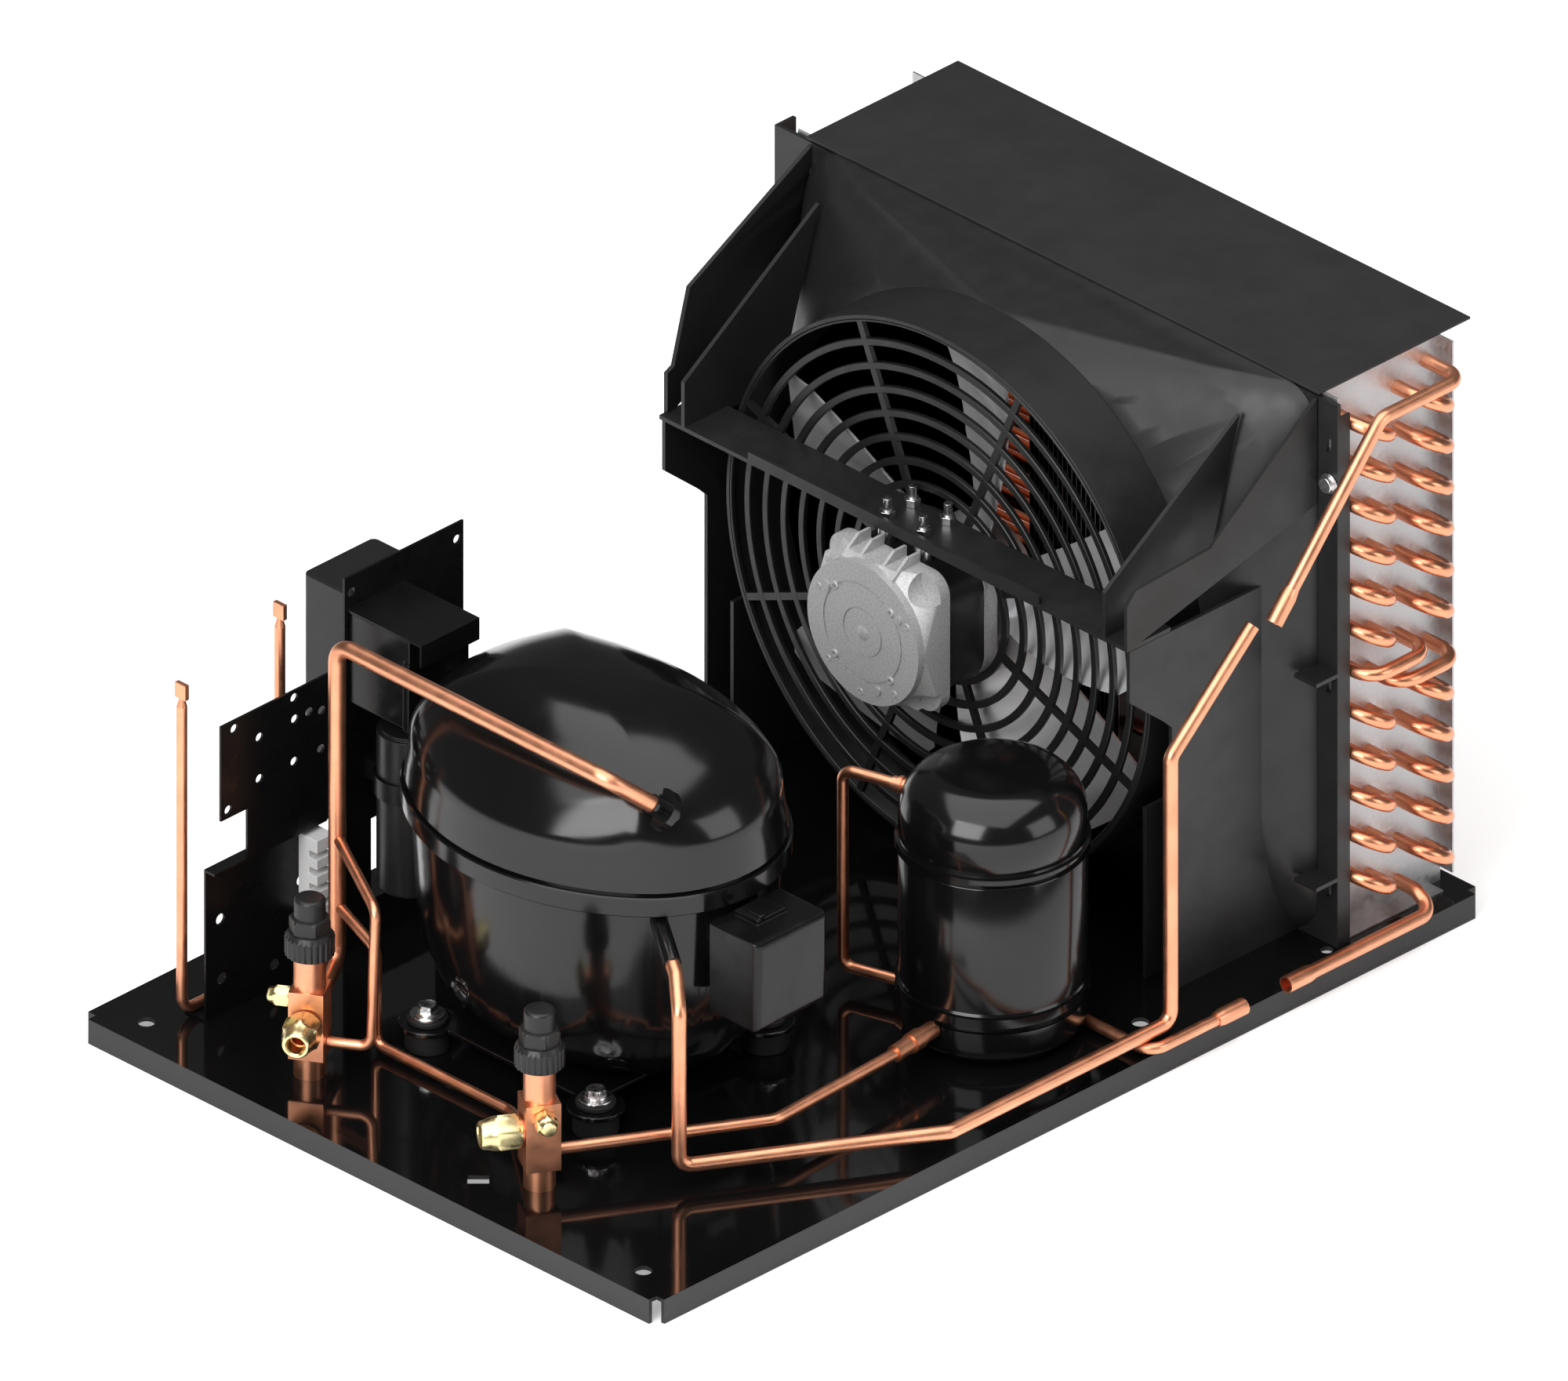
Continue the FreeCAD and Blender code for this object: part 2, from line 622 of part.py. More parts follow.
def make_motor_front():
    """The cast front of the motor: a disc that flares to a square, with pockets and bosses."""
    axis = (MID_Y, FAN_Z)
    half = MOTOR_BODY / 2
    disc_back = MOTOR_FACE_X + 5
    disc = rod(MOTOR_FACE_RADIUS, (MOTOR_FACE_X, *axis), (disc_back, *axis))
    sections = [eight_edges(disc_back, MOTOR_FACE_RADIUS, MOTOR_FACE_RADIUS, FAN_Z, MOTOR_FACE_RADIUS - 0.01),
                body_outline(MOTOR_FLANGE_X, half, MOTOR_CORNER)]
    flare = Part.makeLoft(sections, True, True)
    square = Part.Face(body_outline(MOTOR_FLANGE_X, half, MOTOR_CORNER))
    cast = disc.fuse([flare, square.extrude(V(STATOR_FRONT_X - MOTOR_FLANGE_X, 0, 0))] + motor_bosses())
    cuts = [rod(36, (MOTOR_FACE_X + 10, *axis), (STATOR_FRONT_X + 1, *axis))]
    for groove in (30, 15):
        cuts.append(ring(groove, groove - 1.4, (MOTOR_FACE_X - 1, *axis), (MOTOR_FACE_X + 0.8, *axis)))
    for y in (-POCKET_OFFSET, POCKET_OFFSET):
        for z in (-POCKET_OFFSET, POCKET_OFFSET):
            place = (MID_Y + y, FAN_Z + z)
            cuts.append(rod(POCKET_RADIUS, (MOTOR_FACE_X - 1, *place), (MOTOR_FLANGE_X + 2, *place)))
    cast = cast.cut(cuts)
    seat = ring(10, SHAFT_RADIUS + SHAFT_CLEARANCE, (MOTOR_FACE_X + 9, *axis), (MOTOR_FACE_X + 20, *axis))
    dots = []
    for angle in (35, 145, 250):
        y = MID_Y + 33 * math.cos(math.radians(angle))
        z = FAN_Z + 33 * math.sin(math.radians(angle))
        dots.append(rod(2.6, (MOTOR_FACE_X - 1.2, y, z), (MOTOR_FACE_X + 1, y, z)))
    hole = rod(SHAFT_RADIUS + SHAFT_CLEARANCE, (MOTOR_FACE_X + 9, *axis), (MOTOR_FACE_X + 21, *axis))
    return cast.fuse([seat] + dots).cut(hole)


def motor_bosses():
    """Return the two open channels on top of the motor's casting, below the studs."""
    low, high = FAN_Z + 35, FAN_Z + BOSS_TOP
    outline = [(MOTOR_FACE_X + 3, low), (MOTOR_FACE_X + 3, FAN_Z + 39), (MOTOR_FLANGE_X, high),
               (STATOR_FRONT_X, high), (STATOR_FRONT_X, low)]
    pieces = []
    for middle in (MID_Y - STUD_OFFSET, MID_Y + STUD_OFFSET):
        channel = plate_xz(outline, middle - BOSS_HALF, middle + BOSS_HALF)
        inside = box(MOTOR_FACE_X, STATOR_FRONT_X + 1, middle - BOSS_HALF + 1.8, middle + BOSS_HALF - 1.8,
                     FAN_Z + MOTOR_BODY / 2, high + 1)
        pieces.append(channel.cut(inside))
    return pieces


def make_motor_stator():
    """The stack of steel sheets between the two castings, bored for the rotor."""
    axis = (MID_Y, FAN_Z)
    stack = Part.Face(body_outline(STATOR_FRONT_X, STATOR_HALF, 20))
    stack = stack.extrude(V(STATOR_BACK_X - STATOR_FRONT_X, 0, 0))
    bore = rod(ROTOR_RADIUS + 0.5, (STATOR_FRONT_X - 1, *axis), (STATOR_BACK_X + 1, *axis))
    return stack.cut(bore)


def make_motor_rear():
    """The rear casting, which carries the second bearing seat."""
    axis = (MID_Y, FAN_Z)
    cover = Part.Face(body_outline(STATOR_BACK_X, STATOR_HALF, 20))
    cover = cover.extrude(V(10, 0, 0))
    neck = rod(16, (STATOR_BACK_X + 9, *axis), (MOTOR_BACK_X, *axis))
    cast = cover.fuse(neck)
    cast = cast.cut(rod(34, (STATOR_BACK_X - 1, *axis), (STATOR_BACK_X + 3.5, *axis)))
    return cast.cut(rod(SHAFT_RADIUS + SHAFT_CLEARANCE, (STATOR_BACK_X, *axis), (MOTOR_BACK_X + 1, *axis)))


def make_motor_rotor():
    """The rotor on its shaft, which runs back to carry the fan."""
    axis = (MID_Y, FAN_Z)
    core = rod(ROTOR_RADIUS, (STATOR_FRONT_X + 1, *axis), (STATOR_BACK_X - 1, *axis))
    shaft = rod(SHAFT_RADIUS, (MOTOR_FACE_X + 11, *axis), (474.0, *axis))
    return core.fuse(shaft)


def make_motor_bracket():
    """The bridge over the motor: a channel between two pairs of wings at the sides."""
    z0, z1 = BRACKET_Z, BRACKET_Z + WALL
    wall_y = MID_Y - SIDE_WALL_OUTSET
    inner_y = wall_y + 16.6
    front = BRACKET_FRONT_X
    floor = box(front, front + 33, wall_y, BASE_WIDTH - wall_y, z0, z1)
    lip = box(front, front + WALL, 108, BASE_WIDTH - 108, z0, z1 + 4.5)
    back = FRAME_FRONT_X
    near = [(front, z0), (back, z0 + 46), (back, HOOD_TOP - 1), (464, 292), (454, 282), (403, 274), (front, 266)]
    far = [(front + 4, z0), (back, z0 + 46), (back, HOOD_TOP - 1), (420.5, 309.5), (407, 267),
           (front + 4, 265)]
    wings = []
    for outline in (near, far):
        wing = plate_xz(outline, wall_y, wall_y + WALL)
        wing.rotate(V(front, wall_y, 0), V(0, 0, 1), -math.degrees(math.atan2(WING_SPREAD, back - front)))
        wings.append(wing)
    outline = [(front, z0), (470, z0), (499, 337), (front, 268)]
    inner = plate_xz(outline, inner_y, inner_y + WALL)
    floor_gap = box(front + 9, front + 13, wall_y + 7, wall_y + 11, z0 - 1, z1 + 1)
    frame = floor.fuse([lip, wings[0], mirrored(wings[1]), inner, mirrored(inner)])
    frame = frame.cut([floor_gap, mirrored(floor_gap)])
    studs = [rod(STUD_RADIUS, (x, MID_Y + y, z0 - 1), (x, MID_Y + y, z1 + 1))
             for x in STUD_X for y in (-STUD_OFFSET, STUD_OFFSET)]
    hood = hood_skin(WALL + SEAT_GAP)
    duct = rod(RING_RADIUS + WALL + SEAT_GAP, (RING_FRONT_X - SEAT_GAP, MID_Y, FAN_Z),
               (FRAME_FRONT_X, MID_Y, FAN_Z))
    return frame.cut(studs + [hood, duct]).removeSplitter()


def lofted(levels):
    """Return a solid through the compressor's outline, given as growth and height pairs."""
    return Part.makeLoft([oval(grow, z) for grow, z in levels], True, True)


def bowl_levels(inset):
    """Return the lower shell's profile, or its inside where the inset is not nothing."""
    levels = []
    bottom = COMP_BOTTOM + inset
    for step in range(6):
        angle = math.radians(18 * step)
        grow = -COMP_BOWL_IN * (1 - math.sin(angle)) - inset
        height = COMP_BOWL_TOP - bottom
        levels.append((grow - 3.5, COMP_BOWL_TOP - height * math.cos(angle)))
    levels.append((-inset, COMP_SEAM + inset / COMP_SHELL))
    return levels


def dome_levels(inset):
    """Return the upper shell's profile, or its inside where the inset is not nothing."""
    levels = [(COMP_LIP - 1.5 - inset, COMP_SEAM + SEAT_GAP - inset / COMP_SHELL)]
    for step in range(6):
        angle = math.radians(15 * step)
        grow = -COMP_DOME_IN * (1 - math.cos(angle)) - inset
        levels.append((grow, COMP_SHOULDER + (COMP_TOP - COMP_SHOULDER - inset) * math.sin(angle)))
    return levels


def make_shell_lower():
    """The compressor's lower shell: a deep drawn cup with a rounded bottom."""
    return lofted(bowl_levels(0.0)).cut(lofted(bowl_levels(COMP_SHELL)))


def make_shell_upper():
    """The compressor's upper shell: a domed lid whose skirt laps over the lower shell."""
    lid = lofted(dome_levels(0.0))
    band = oval_block(COMP_LIP, COMP_SEAM - 8, COMP_SEAM + 6)
    skirt = oval_block(SEAT_GAP, COMP_SEAM - 9, COMP_SEAM + SEAT_GAP)
    return lid.fuse(band).cut([lofted(dome_levels(COMP_SHELL)), skirt])


def make_foot_plate():
    """The pressed plate under the compressor, with four lugs that take the grommets."""
    z0 = COMP_BOTTOM - FOOT_THICK
    x0, x1 = FOOT_X
    y0, y1 = FOOT_Y
    plate = box(x0, x1, y0 + 4, y1 - 4, z0, COMP_BOTTOM)
    lugs = [rod(FOOT_HOLE, (x, y, z0), (x, y, COMP_BOTTOM)) for x in FOOT_X for y in (y0, y1)]
    plate = plate.fuse(lugs)
    holes = [rod(FOOT_HOLE / 2, (x, y, z0 - 1), (x, y, COMP_BOTTOM + 1)) for x in FOOT_X for y in (y0, y1)]
    holes.append(rod(20, (COMP_X, MID_Y, z0 - 1), (COMP_X, MID_Y, COMP_BOTTOM + 1)))
    return plate.cut(holes).removeSplitter()


def foot_places():
    """Return the four places where the compressor is bolted down."""
    return [(x, y) for x in FOOT_X for y in FOOT_Y]


def make_grommets():
    """Rubber mounts between the base and the foot plate, waisted to hold its holes."""
    mounts = []
    z0, z1 = BASE_HEIGHT, COMP_BOTTOM - FOOT_THICK
    for x, y in foot_places():
        body = rod(12.5, (x, y, z0), (x, y, z1))
        neck = rod(FOOT_HOLE / 2 - JOINT_GAP, (x, y, z1), (x, y, COMP_BOTTOM))
        top = rod(11.0, (x, y, COMP_BOTTOM), (x, y, COMP_BOTTOM + 3))
        hole = rod(BOLT / 2 + JOINT_GAP, (x, y, z0 - 1), (x, y, COMP_BOTTOM + 4))
        mounts.append(body.fuse([neck, top]).cut(hole))
    return Part.makeCompound(mounts)


def make_foot_bolts():
    """Hexagon bolts with washers, down through the mounts, with nuts below the base."""
    bolts = []
    for x, y in foot_places():
        seat = COMP_BOTTOM + 3
        washer = rod(9.5, (x, y, seat), (x, y, seat + 1.6))
        head = hex_bar(13.0, (x, y, seat + 1.6), (x, y, seat + 7))
        shank = rod(BOLT / 2, (x, y, 3.0), (x, y, seat + 2))
        nut = hex_bar(13.0, (x, y, BASE_HEIGHT - SHEET - 6.5), (x, y, BASE_HEIGHT - SHEET))
        bolts.append(washer.fuse([head, shank, nut]))
    return Part.makeCompound(bolts)


def make_terminal_cover():
    """The snap-on cover over the compressor's terminals, with a latch on its top."""
    x0, x1 = COMP_X - 30, COMP_X + 23.5
    y0, y1 = 66.0, 103.0
    z0, z1 = 95.5, 150.0
    cover = box(x0, x1, y0, y1, z0, z1)
    front = [edge for edge in cover.Edges if edge.BoundBox.YMax < y0 + 0.01]
    cover = cover.makeFillet(4.5, front)
    inside = box(x0 + 2, x1 - 2, y0 + 2, y1 + 1, z0 + 2, z1 - 2)
    latch = box(x0 + 16, x1 - 16, y0 + 16, y0 + 34, z1 - 1, z1 + 3)
    knob = box(x0 + 18, x0 + 22, y0 + 16, y0 + 26, z1 + 2.9, z1 + 5)
    return cover.cut(inside).fuse([latch, knob])


def make_terminal_block():
    """The terminal plate on the shell, with its three pins inside the cover."""
    z = 124.0
    x = COMP_X - 4
    plate = rod(17, (x, 100.0, z), (x, 118.0, z)).cut(lofted(bowl_levels(-SEAT_GAP)))
    pins = []
    for angle in (90, 210, 330):
        px = x + 8 * math.cos(math.radians(angle))
        pz = z + 8 * math.sin(math.radians(angle))
        pins.append(rod(1.6, (px, 84.0, pz), (px, 101.0, pz)))
    bracket = box(x - 23.5, x + 23.5, 99.5, 102.5, z - 23.5, z + 23.5)
    return bracket.fuse([plate] + pins)


def make_pump_stator():
    """The compressor's motor stator with its two winding heads."""
    z0, z1 = 72.0, 118.0
    place = (COMP_X, MID_Y)
    stack = ring(62, 30.5, (*place, z0), (*place, z1))
    low = ring(54, 34, (*place, z0 - 16), (*place, z0))
    high = ring(54, 34, (*place, z1), (*place, z1 + 14))
    return stack.fuse([low, high])


def make_pump_crank():
    """The compressor's rotor on its crankshaft, with the eccentric pin at the top."""
    place = (COMP_X, MID_Y)
    core = rod(30.0, (*place, 70.0), (*place, 116.0))
    shaft = rod(9.0, (*place, 52.0), (*place, 172.0))
    web = rod(20.0, (*place, 172.0), (*place, 178.0))
    crank_pin = rod(6.0, (COMP_X + 9.0, MID_Y, 178.0), (COMP_X + 9.0, MID_Y, 194.0))
    return core.fuse([shaft, web, crank_pin])


def make_pump_block():
    """The compressor's cylinder block, which holds the main bearing and the cylinder."""
    place = (COMP_X, MID_Y)
    deck = box(COMP_X - 52, COMP_X + 52, MID_Y - 62, MID_Y + 62, 146.0, 156.0)
    bearing = rod(17.0, (*place, 136.0), (*place, 170.0))
    cylinder = box(COMP_X - 24, COMP_X + 24, MID_Y + 34, MID_Y + 66, 155.0, 206.0)
    bore = rod(13.0, (COMP_X, MID_Y + 33, 186.0), (COMP_X, MID_Y + 60, 186.0))
    legs = [rod(5, (COMP_X + x, MID_Y + y, 118.3), (COMP_X + x, MID_Y + y, 147))
            for x in (-42, 42) for y in (-42, 42)]
    hole = rod(9.0 + SHAFT_CLEARANCE, (*place, 130.0), (*place, 175.0))
    return deck.fuse([bearing, cylinder] + legs).cut([bore, hole])


def make_pump_springs():
    """The four springs that the pump stands on, as plain posts with seats."""
    inside = lofted(bowl_levels(COMP_SHELL + SEAT_GAP))
    posts = []
    for x in (-32, 32):
        for y in (-32, 32):
            place = (COMP_X + x, MID_Y + y)
            posts.append(rod(6.5, (*place, COMP_BOTTOM), (*place, 56.0)).common(inside))
    return Part.makeCompound(posts)


def make_suction_stub():
    """The suction stub in its pad on the upper shell, with a mouth for the pipe."""
    inner, outer = STUB_INNER, STUB_OUTER
    pad = rod(11.5, along(outer, inner, 7.0), along(outer, inner, 12.0))
    tube = rod(SUCTION_OD / 2 + PIPE_WALL, outer, inner)
    bore = rod(SUCTION_OD / 2 + JOINT_GAP, along(outer, inner, -1), along(outer, inner, 11.0))
    stub = tube.fuse(pad).cut(bore)
    return stub.cut(lofted(dome_levels(-SEAT_GAP)))


def make_discharge_stub():
    """The discharge stub, which slants down and out of the shell to its pipe."""
    tube = rod(DISCHARGE_OD / 2 + JOINT_GAP + PIPE_WALL, DISCHARGE_STUB, DISCHARGE_INNER)
    bore = rod(DISCHARGE_OD / 2 + JOINT_GAP, along(DISCHARGE_STUB, DISCHARGE_INNER, -1.0),
               along(DISCHARGE_STUB, DISCHARGE_INNER, 12.0))
    band = oval_block(COMP_LIP + SEAT_GAP, COMP_SEAM - 8 - SEAT_GAP, COMP_SEAM + 6)
    return tube.cut([bore, lofted(bowl_levels(-SEAT_GAP)), band])


def receiver_drum(grow):
    """Return the receiver's drum with its rounded heads, grown outwards by a distance."""
    place = (RECEIVER_X, RECEIVER_Y)
    low, high = RECEIVER_BOTTOM - grow, RECEIVER_TOP + grow
    drum = rod(RECEIVER_RADIUS + grow, (*place, low), (*place, high))
    drum = drum.makeFillet(RECEIVER_HEAD + grow, edges_at(drum, high))
    return drum.makeFillet(RECEIVER_HEEL + grow, edges_at(drum, low))


def make_receiver():
    """The liquid receiver: a drum with domed heads, a weld bead and a foot ring."""
    place = (RECEIVER_X, RECEIVER_Y)
    foot = BASE_HEIGHT
    drum = receiver_drum(0.0)
    skirt = ring(RECEIVER_RADIUS - 10, RECEIVER_RADIUS - 12, (*place, foot), (*place, foot + 4))
    bead = rod(RECEIVER_RADIUS + 1.6, (*place, 127.0), (*place, 131.0))
    groove = ring(RECEIVER_RADIUS + 1, RECEIVER_RADIUS - 1.2, (*place, 42.0), (*place, 46.0))
    return drum.fuse([skirt, bead]).cut(groove)


def fitting(start, end, diameter):
    """Return a stepped, beaded sleeve where a pipe enters a vessel or a valve."""
    length = V(*start).distanceToPoint(V(*end))
    sleeve = rod(diameter / 2 + 1.0, start, end)
    bead = rod(diameter / 2 + 1.9, along(start, end, length * 0.35), along(start, end, length * 0.6))
    return sleeve.fuse(bead)


def make_bypass_pipe():
    """The upright pipe beside the receiver, turned into it above and below."""
    foot_x, foot_y = BYPASS_AT
    low, high = 27.0, 148.0
    heading = V(RECEIVER_X - foot_x, RECEIVER_Y - foot_y, 0).normalize()
    reach = V(RECEIVER_X - foot_x, RECEIVER_Y - foot_y, 0).Length - RECEIVER_RADIUS - SEAT_GAP
    top = (foot_x + heading.x * reach, foot_y + heading.y * reach)
    run = pipe([(*top, high), (foot_x, foot_y, high), (foot_x, foot_y, low), (*top, low)], BYPASS_OD, 7.0)
    high_end = fitting((*top, high), along((*top, high), (foot_x, foot_y, high), 9.0), BYPASS_OD)
    low_end = fitting((*top, low), along((*top, low), (foot_x, foot_y, low), 6.0), BYPASS_OD)
    return run.fuse([high_end, low_end])


def make_receiver_inlet():
    """The receiver's inlet pipe: out of the drum near its foot, then along to its open cup."""
    x = 371.0
    corner = (x, RUN_Y, RUN_Z)
    run = pipe([(x, RECEIVER_Y - 20, RUN_Z), corner, INLET_END], LIQUID_OD, 10.0)
    cup, bore = socket(INLET_END, corner, TUBE)
    return run.fuse(cup).cut([bore, receiver_drum(SEAT_GAP)])


def make_liquid_line():
    """The liquid line from the receiver to the front service valve."""
    z = LOW_PORT_Z
    heading = valve_point(VALVE_FRONT, VALVE_TURN_FRONT - 90, 24.0, z)
    near = valve_point(VALVE_FRONT, VALVE_TURN_FRONT - 90, VALVE_BODY / 2 + SEAT_GAP, z)
    last = (RECEIVER_X - RECEIVER_RADIUS - SEAT_GAP, RECEIVER_Y - 6, z)
    points = [near, heading, (159.0, 68.4, z), (252.0, 73.0, z), last]
    run = pipe(points, LIQUID_OD, 12.0)
    end_fitting = fitting(last, along(last, (252.0, 73.0, z), 34.0), LIQUID_OD + 1)
    return run.fuse(end_fitting)


def make_discharge_pipe():
    """The discharge pipe: from the compressor, round the receiver and up to an open end."""
    y, low = DISCHARGE_END[1], DISCHARGE_LOW_Z
    start = along(DISCHARGE_STUB, DISCHARGE_INNER, 11.0)
    leaving = along(DISCHARGE_STUB, DISCHARGE_INNER, -8.0)
    rise = (392.2, y, 191.0)
    points = [start, leaving, (96.9, 79.9, 122.0), (96.9, 79.9, low), (225.6, y, low), (rise[0], y, low), rise,
              DISCHARGE_END]
    return open_end(pipe(points, DISCHARGE_OD, 7.5), DISCHARGE_END, rise, DISCHARGE_OD)


def make_suction_pipe():
    """The suction pipe: from the rear valve up and along to the compressor's stub."""
    z = VALVE_PORT_Z
    near = valve_point(VALVE_REAR, VALVE_TURN_REAR, VALVE_BODY / 2 + SEAT_GAP, z)
    corner = suction_riser(z)
    top = suction_riser(SUCTION_TOP_Z)
    last = along(STUB_OUTER, STUB_INNER, 9.0)
    return pipe([near, corner, top, SUCTION_TURN, last], SUCTION_OD, 11.0).cut(lofted(dome_levels(-SEAT_GAP)))


def valve_point(place, turn, distance, z):
    """Return a point at a distance from a valve's axis, in a direction given in degrees."""
    angle = math.radians(turn)
    return (place[0] + distance * math.cos(angle), place[1] + distance * math.sin(angle), z)


def valve_body(place, turn, port_nut, gauge_turn):
    """Return a valve body: square block on a round foot, with a neck and two ports."""
    x, y = place
    half = VALVE_BODY / 2
    top = VALVE_BODY_Z + VALVE_BODY_HEIGHT
    block = box(x - half, x + half, y - half, y + half, VALVE_BODY_Z, top)
    foot = rod(8.8, (x, y, BASE_HEIGHT), (x, y, VALVE_BODY_Z))
    neck = rod(8.8, (x, y, top), (x, y, CAP_Z))
    thread = rod(CAP_THREAD, (x, y, CAP_Z), (x, y, CAP_Z + 9))
    body = block.fuse([foot, neck, thread])
    body.rotate(V(x, y, 0), V(0, 0, 1), turn)
    port = rod(7.0, valve_point(place, port_nut, half - 1, VALVE_PORT_Z),
               valve_point(place, port_nut, half + 14, VALVE_PORT_Z))
    gauge = rod(GAUGE_RADIUS, valve_point(place, gauge_turn, half - 1, GAUGE_Z),
                valve_point(place, gauge_turn, half + 8, GAUGE_Z))
    body = body.fuse([port, gauge])
    stem_hole = rod(STEM_RADIUS + SHAFT_CLEARANCE, (x, y, VALVE_PORT_Z + 6), (x, y, CAP_Z + 10))
    port_hole = rod(4.5, valve_point(place, port_nut, 3, VALVE_PORT_Z),
                    valve_point(place, port_nut, half + 15, VALVE_PORT_Z))
    return body.cut([stem_hole, port_hole])


def valve_stem(place):
    """Return a valve's stem, with a square end to turn it by."""
    x, y = place
    stem = rod(STEM_RADIUS, (x, y, VALVE_PORT_Z + 14), (x, y, VALVE_TOP - 18))
    square = box(x - 2.4, x + 2.4, y - 2.4, y + 2.4, VALVE_TOP - 18.5, VALVE_TOP - 9)
    return stem.fuse(square)


def valve_cap(place):
    """Return a valve's cap: a ribbed skirt, a hexagon and a rounded top over the stem."""
    x, y = place
    z0 = CAP_Z + SEAT_GAP
    skirt = rod(13.6, (x, y, z0), (x, y, z0 + 15))
    flats = hex_bar(20.0, (x, y, z0 + 15), (x, y, z0 + 23))
    crown = rod(8.6, (x, y, z0 + 23), (x, y, VALVE_TOP))
    crown = crown.makeFillet(2.5, edges_at(crown, VALVE_TOP))
    inside = rod(CAP_THREAD + SEAT_GAP, (x, y, z0 - 1), (x, y, z0 + 10))
    well = rod(STEM_RADIUS + 1.0, (x, y, z0 + 9), (x, y, VALVE_TOP - 5))
    return skirt.fuse([flats, crown]).cut([inside, well])


def flare_nut(place, turn):
    """Return the flare nut on a valve's port: a hexagon with a round nose, bored through."""
    inner = VALVE_BODY / 2 + 1.5
    start = valve_point(place, turn, inner, VALVE_PORT_Z)
    middle = valve_point(place, turn, inner + 15, VALVE_PORT_Z)
    end = valve_point(place, turn, inner + 22, VALVE_PORT_Z)
    nut = hex_bar(NUT_FLATS, start, middle, 30).fuse(rod(8.0, middle, end))
    thread = rod(7.0 + SEAT_GAP, along(start, end, -1), along(start, end, 14.5))
    mouth = rod(5.0, along(start, end, 12), along(end, start, -1))
    return nut.cut([thread, mouth])


def port_plug(place, turn):
    """Return the small capped plug on a valve's gauge port."""
    inner = VALVE_BODY / 2 + SEAT_GAP
    start = valve_point(place, turn, inner, GAUGE_Z)
    middle = valve_point(place, turn, inner + 9, GAUGE_Z)
    end = valve_point(place, turn, inner + 13, GAUGE_Z)
    plug = hex_bar(11.0, start, middle, 30).fuse(rod(4.2, middle, end))
    return plug.cut(rod(GAUGE_RADIUS + SEAT_GAP, along(start, end, -1), along(start, end, 8.2)))


def make_control_plate():
    """The folded plate for the pressure controls, with rows of screw holes."""
    y0 = CONTROL_Y
    lower = box(42, 127, y0, y0 + PLATE_SHEET, BASE_HEIGHT, 109)
    shelf = box(42, 127, CONTROL_UPPER_Y, y0 + PLATE_SHEET, 109 - PLATE_SHEET, 109)
    outline = [(67, 107.5), (127, 107.5), (135, 116), (135, 198), (47, 198), (47, 139.5), (67, 139.5)]
    upper = plate_xz(outline, CONTROL_UPPER_Y, CONTROL_UPPER_Y + PLATE_SHEET)
    foot = box(42, 127, y0, y0 + 16, BASE_HEIGHT, BASE_HEIGHT + PLATE_SHEET)
    plate = lower.fuse([shelf, upper, foot])
    holes = []
    for x, z in ((57, 193), (76, 180), (76, 154.4), (52.4, 144.7), (102.3, 193.6), (102.8, 180.3),
                 (113.5, 180.3), (123, 177.4), (102.3, 154.3), (122.4, 153.9)):
        holes.append(rod(2.6, (x, y0 - 12, z), (x, y0 + 3, z)))
    for x, z in ((114, 73.7), (53, 74.4), (54, 37.6), (94, 30)):
        holes.append(rod(3.2, (x, y0 - 12, z), (x, y0 + 3, z)))
    return plate.cut(holes).removeSplitter()


def make_electrical_bracket():
    """The angle that carries the relay box: an upright sheet with a shelf folded forward."""
    x0, x1 = 147.0, 237.0
    y1 = CONTROL_Y + PLATE_SHEET
    upright = box(x0, x1, CONTROL_Y, y1, BASE_HEIGHT, 246)
    shelf = box(*RELAY_X, RELAY_Y[0], y1, RELAY_TOP, RELAY_TOP + PLATE_SHEET)
    rim = box(*RELAY_X, RELAY_Y[0] - PLATE_SHEET, RELAY_Y[0], RELAY_TOP - 12, RELAY_TOP + PLATE_SHEET)
    foot = box(x0, x1, CONTROL_Y, y1 + 14, BASE_HEIGHT, BASE_HEIGHT + PLATE_SHEET)
    bracket = upright.fuse([shelf, rim, foot])
    holes = [rod(2.6, (x, CONTROL_Y - 1, 236), (x, y1 + 1, 236)) for x in (152, 232)]
    window = box(x0 + 20, x1 - 20, CONTROL_Y - 1, y1 + 1, 40, 90)
    return bracket.cut(holes + [window]).removeSplitter()


def make_relay_box():
    """The start relay's box, hung under the shelf with its lid to the front."""
    x0, x1 = RELAY_X
    y0, y1 = RELAY_Y
    front = y0 + 7.2
    case = box(x0 + 1, x1 - 1, front + 1.4, y1 - SEAT_GAP, RELAY_TOP - 56, RELAY_TOP - SEAT_GAP)
    lid = box(x0 - 1, x1 + 1, front, front + 5, RELAY_TOP - 56, RELAY_TOP - 14)
    return case.fuse(lid)


def make_contactor():
    """The grey control box on the far side of the electrical bracket."""
    y0 = CONTROL_Y + PLATE_SHEET
    case = box(161, 215, y0, y0 + 44.5, 112, 226)
    upright = [edge for edge in case.Edges if edge.BoundBox.ZLength > 70]
    return case.makeFillet(4.0, upright)


def make_capacitor():
    """The run capacitor, upright on its foot, with a lid and two tabs."""
    x, y = CAPACITOR_AT
    can = rod(CAPACITOR_RADIUS, (x, y, 60), (x, y, 156))
    can = can.makeFillet(2.0, edges_at(can, 60))
    lid = rod(CAPACITOR_RADIUS - 2, (x, y, 156), (x, y, 158))
    tabs = [box(x + side - 0.5, x + side + 0.5, y - 3, y + 3, 157.5, 165) for side in (-5, 5)]
    return can.fuse([lid] + tabs)


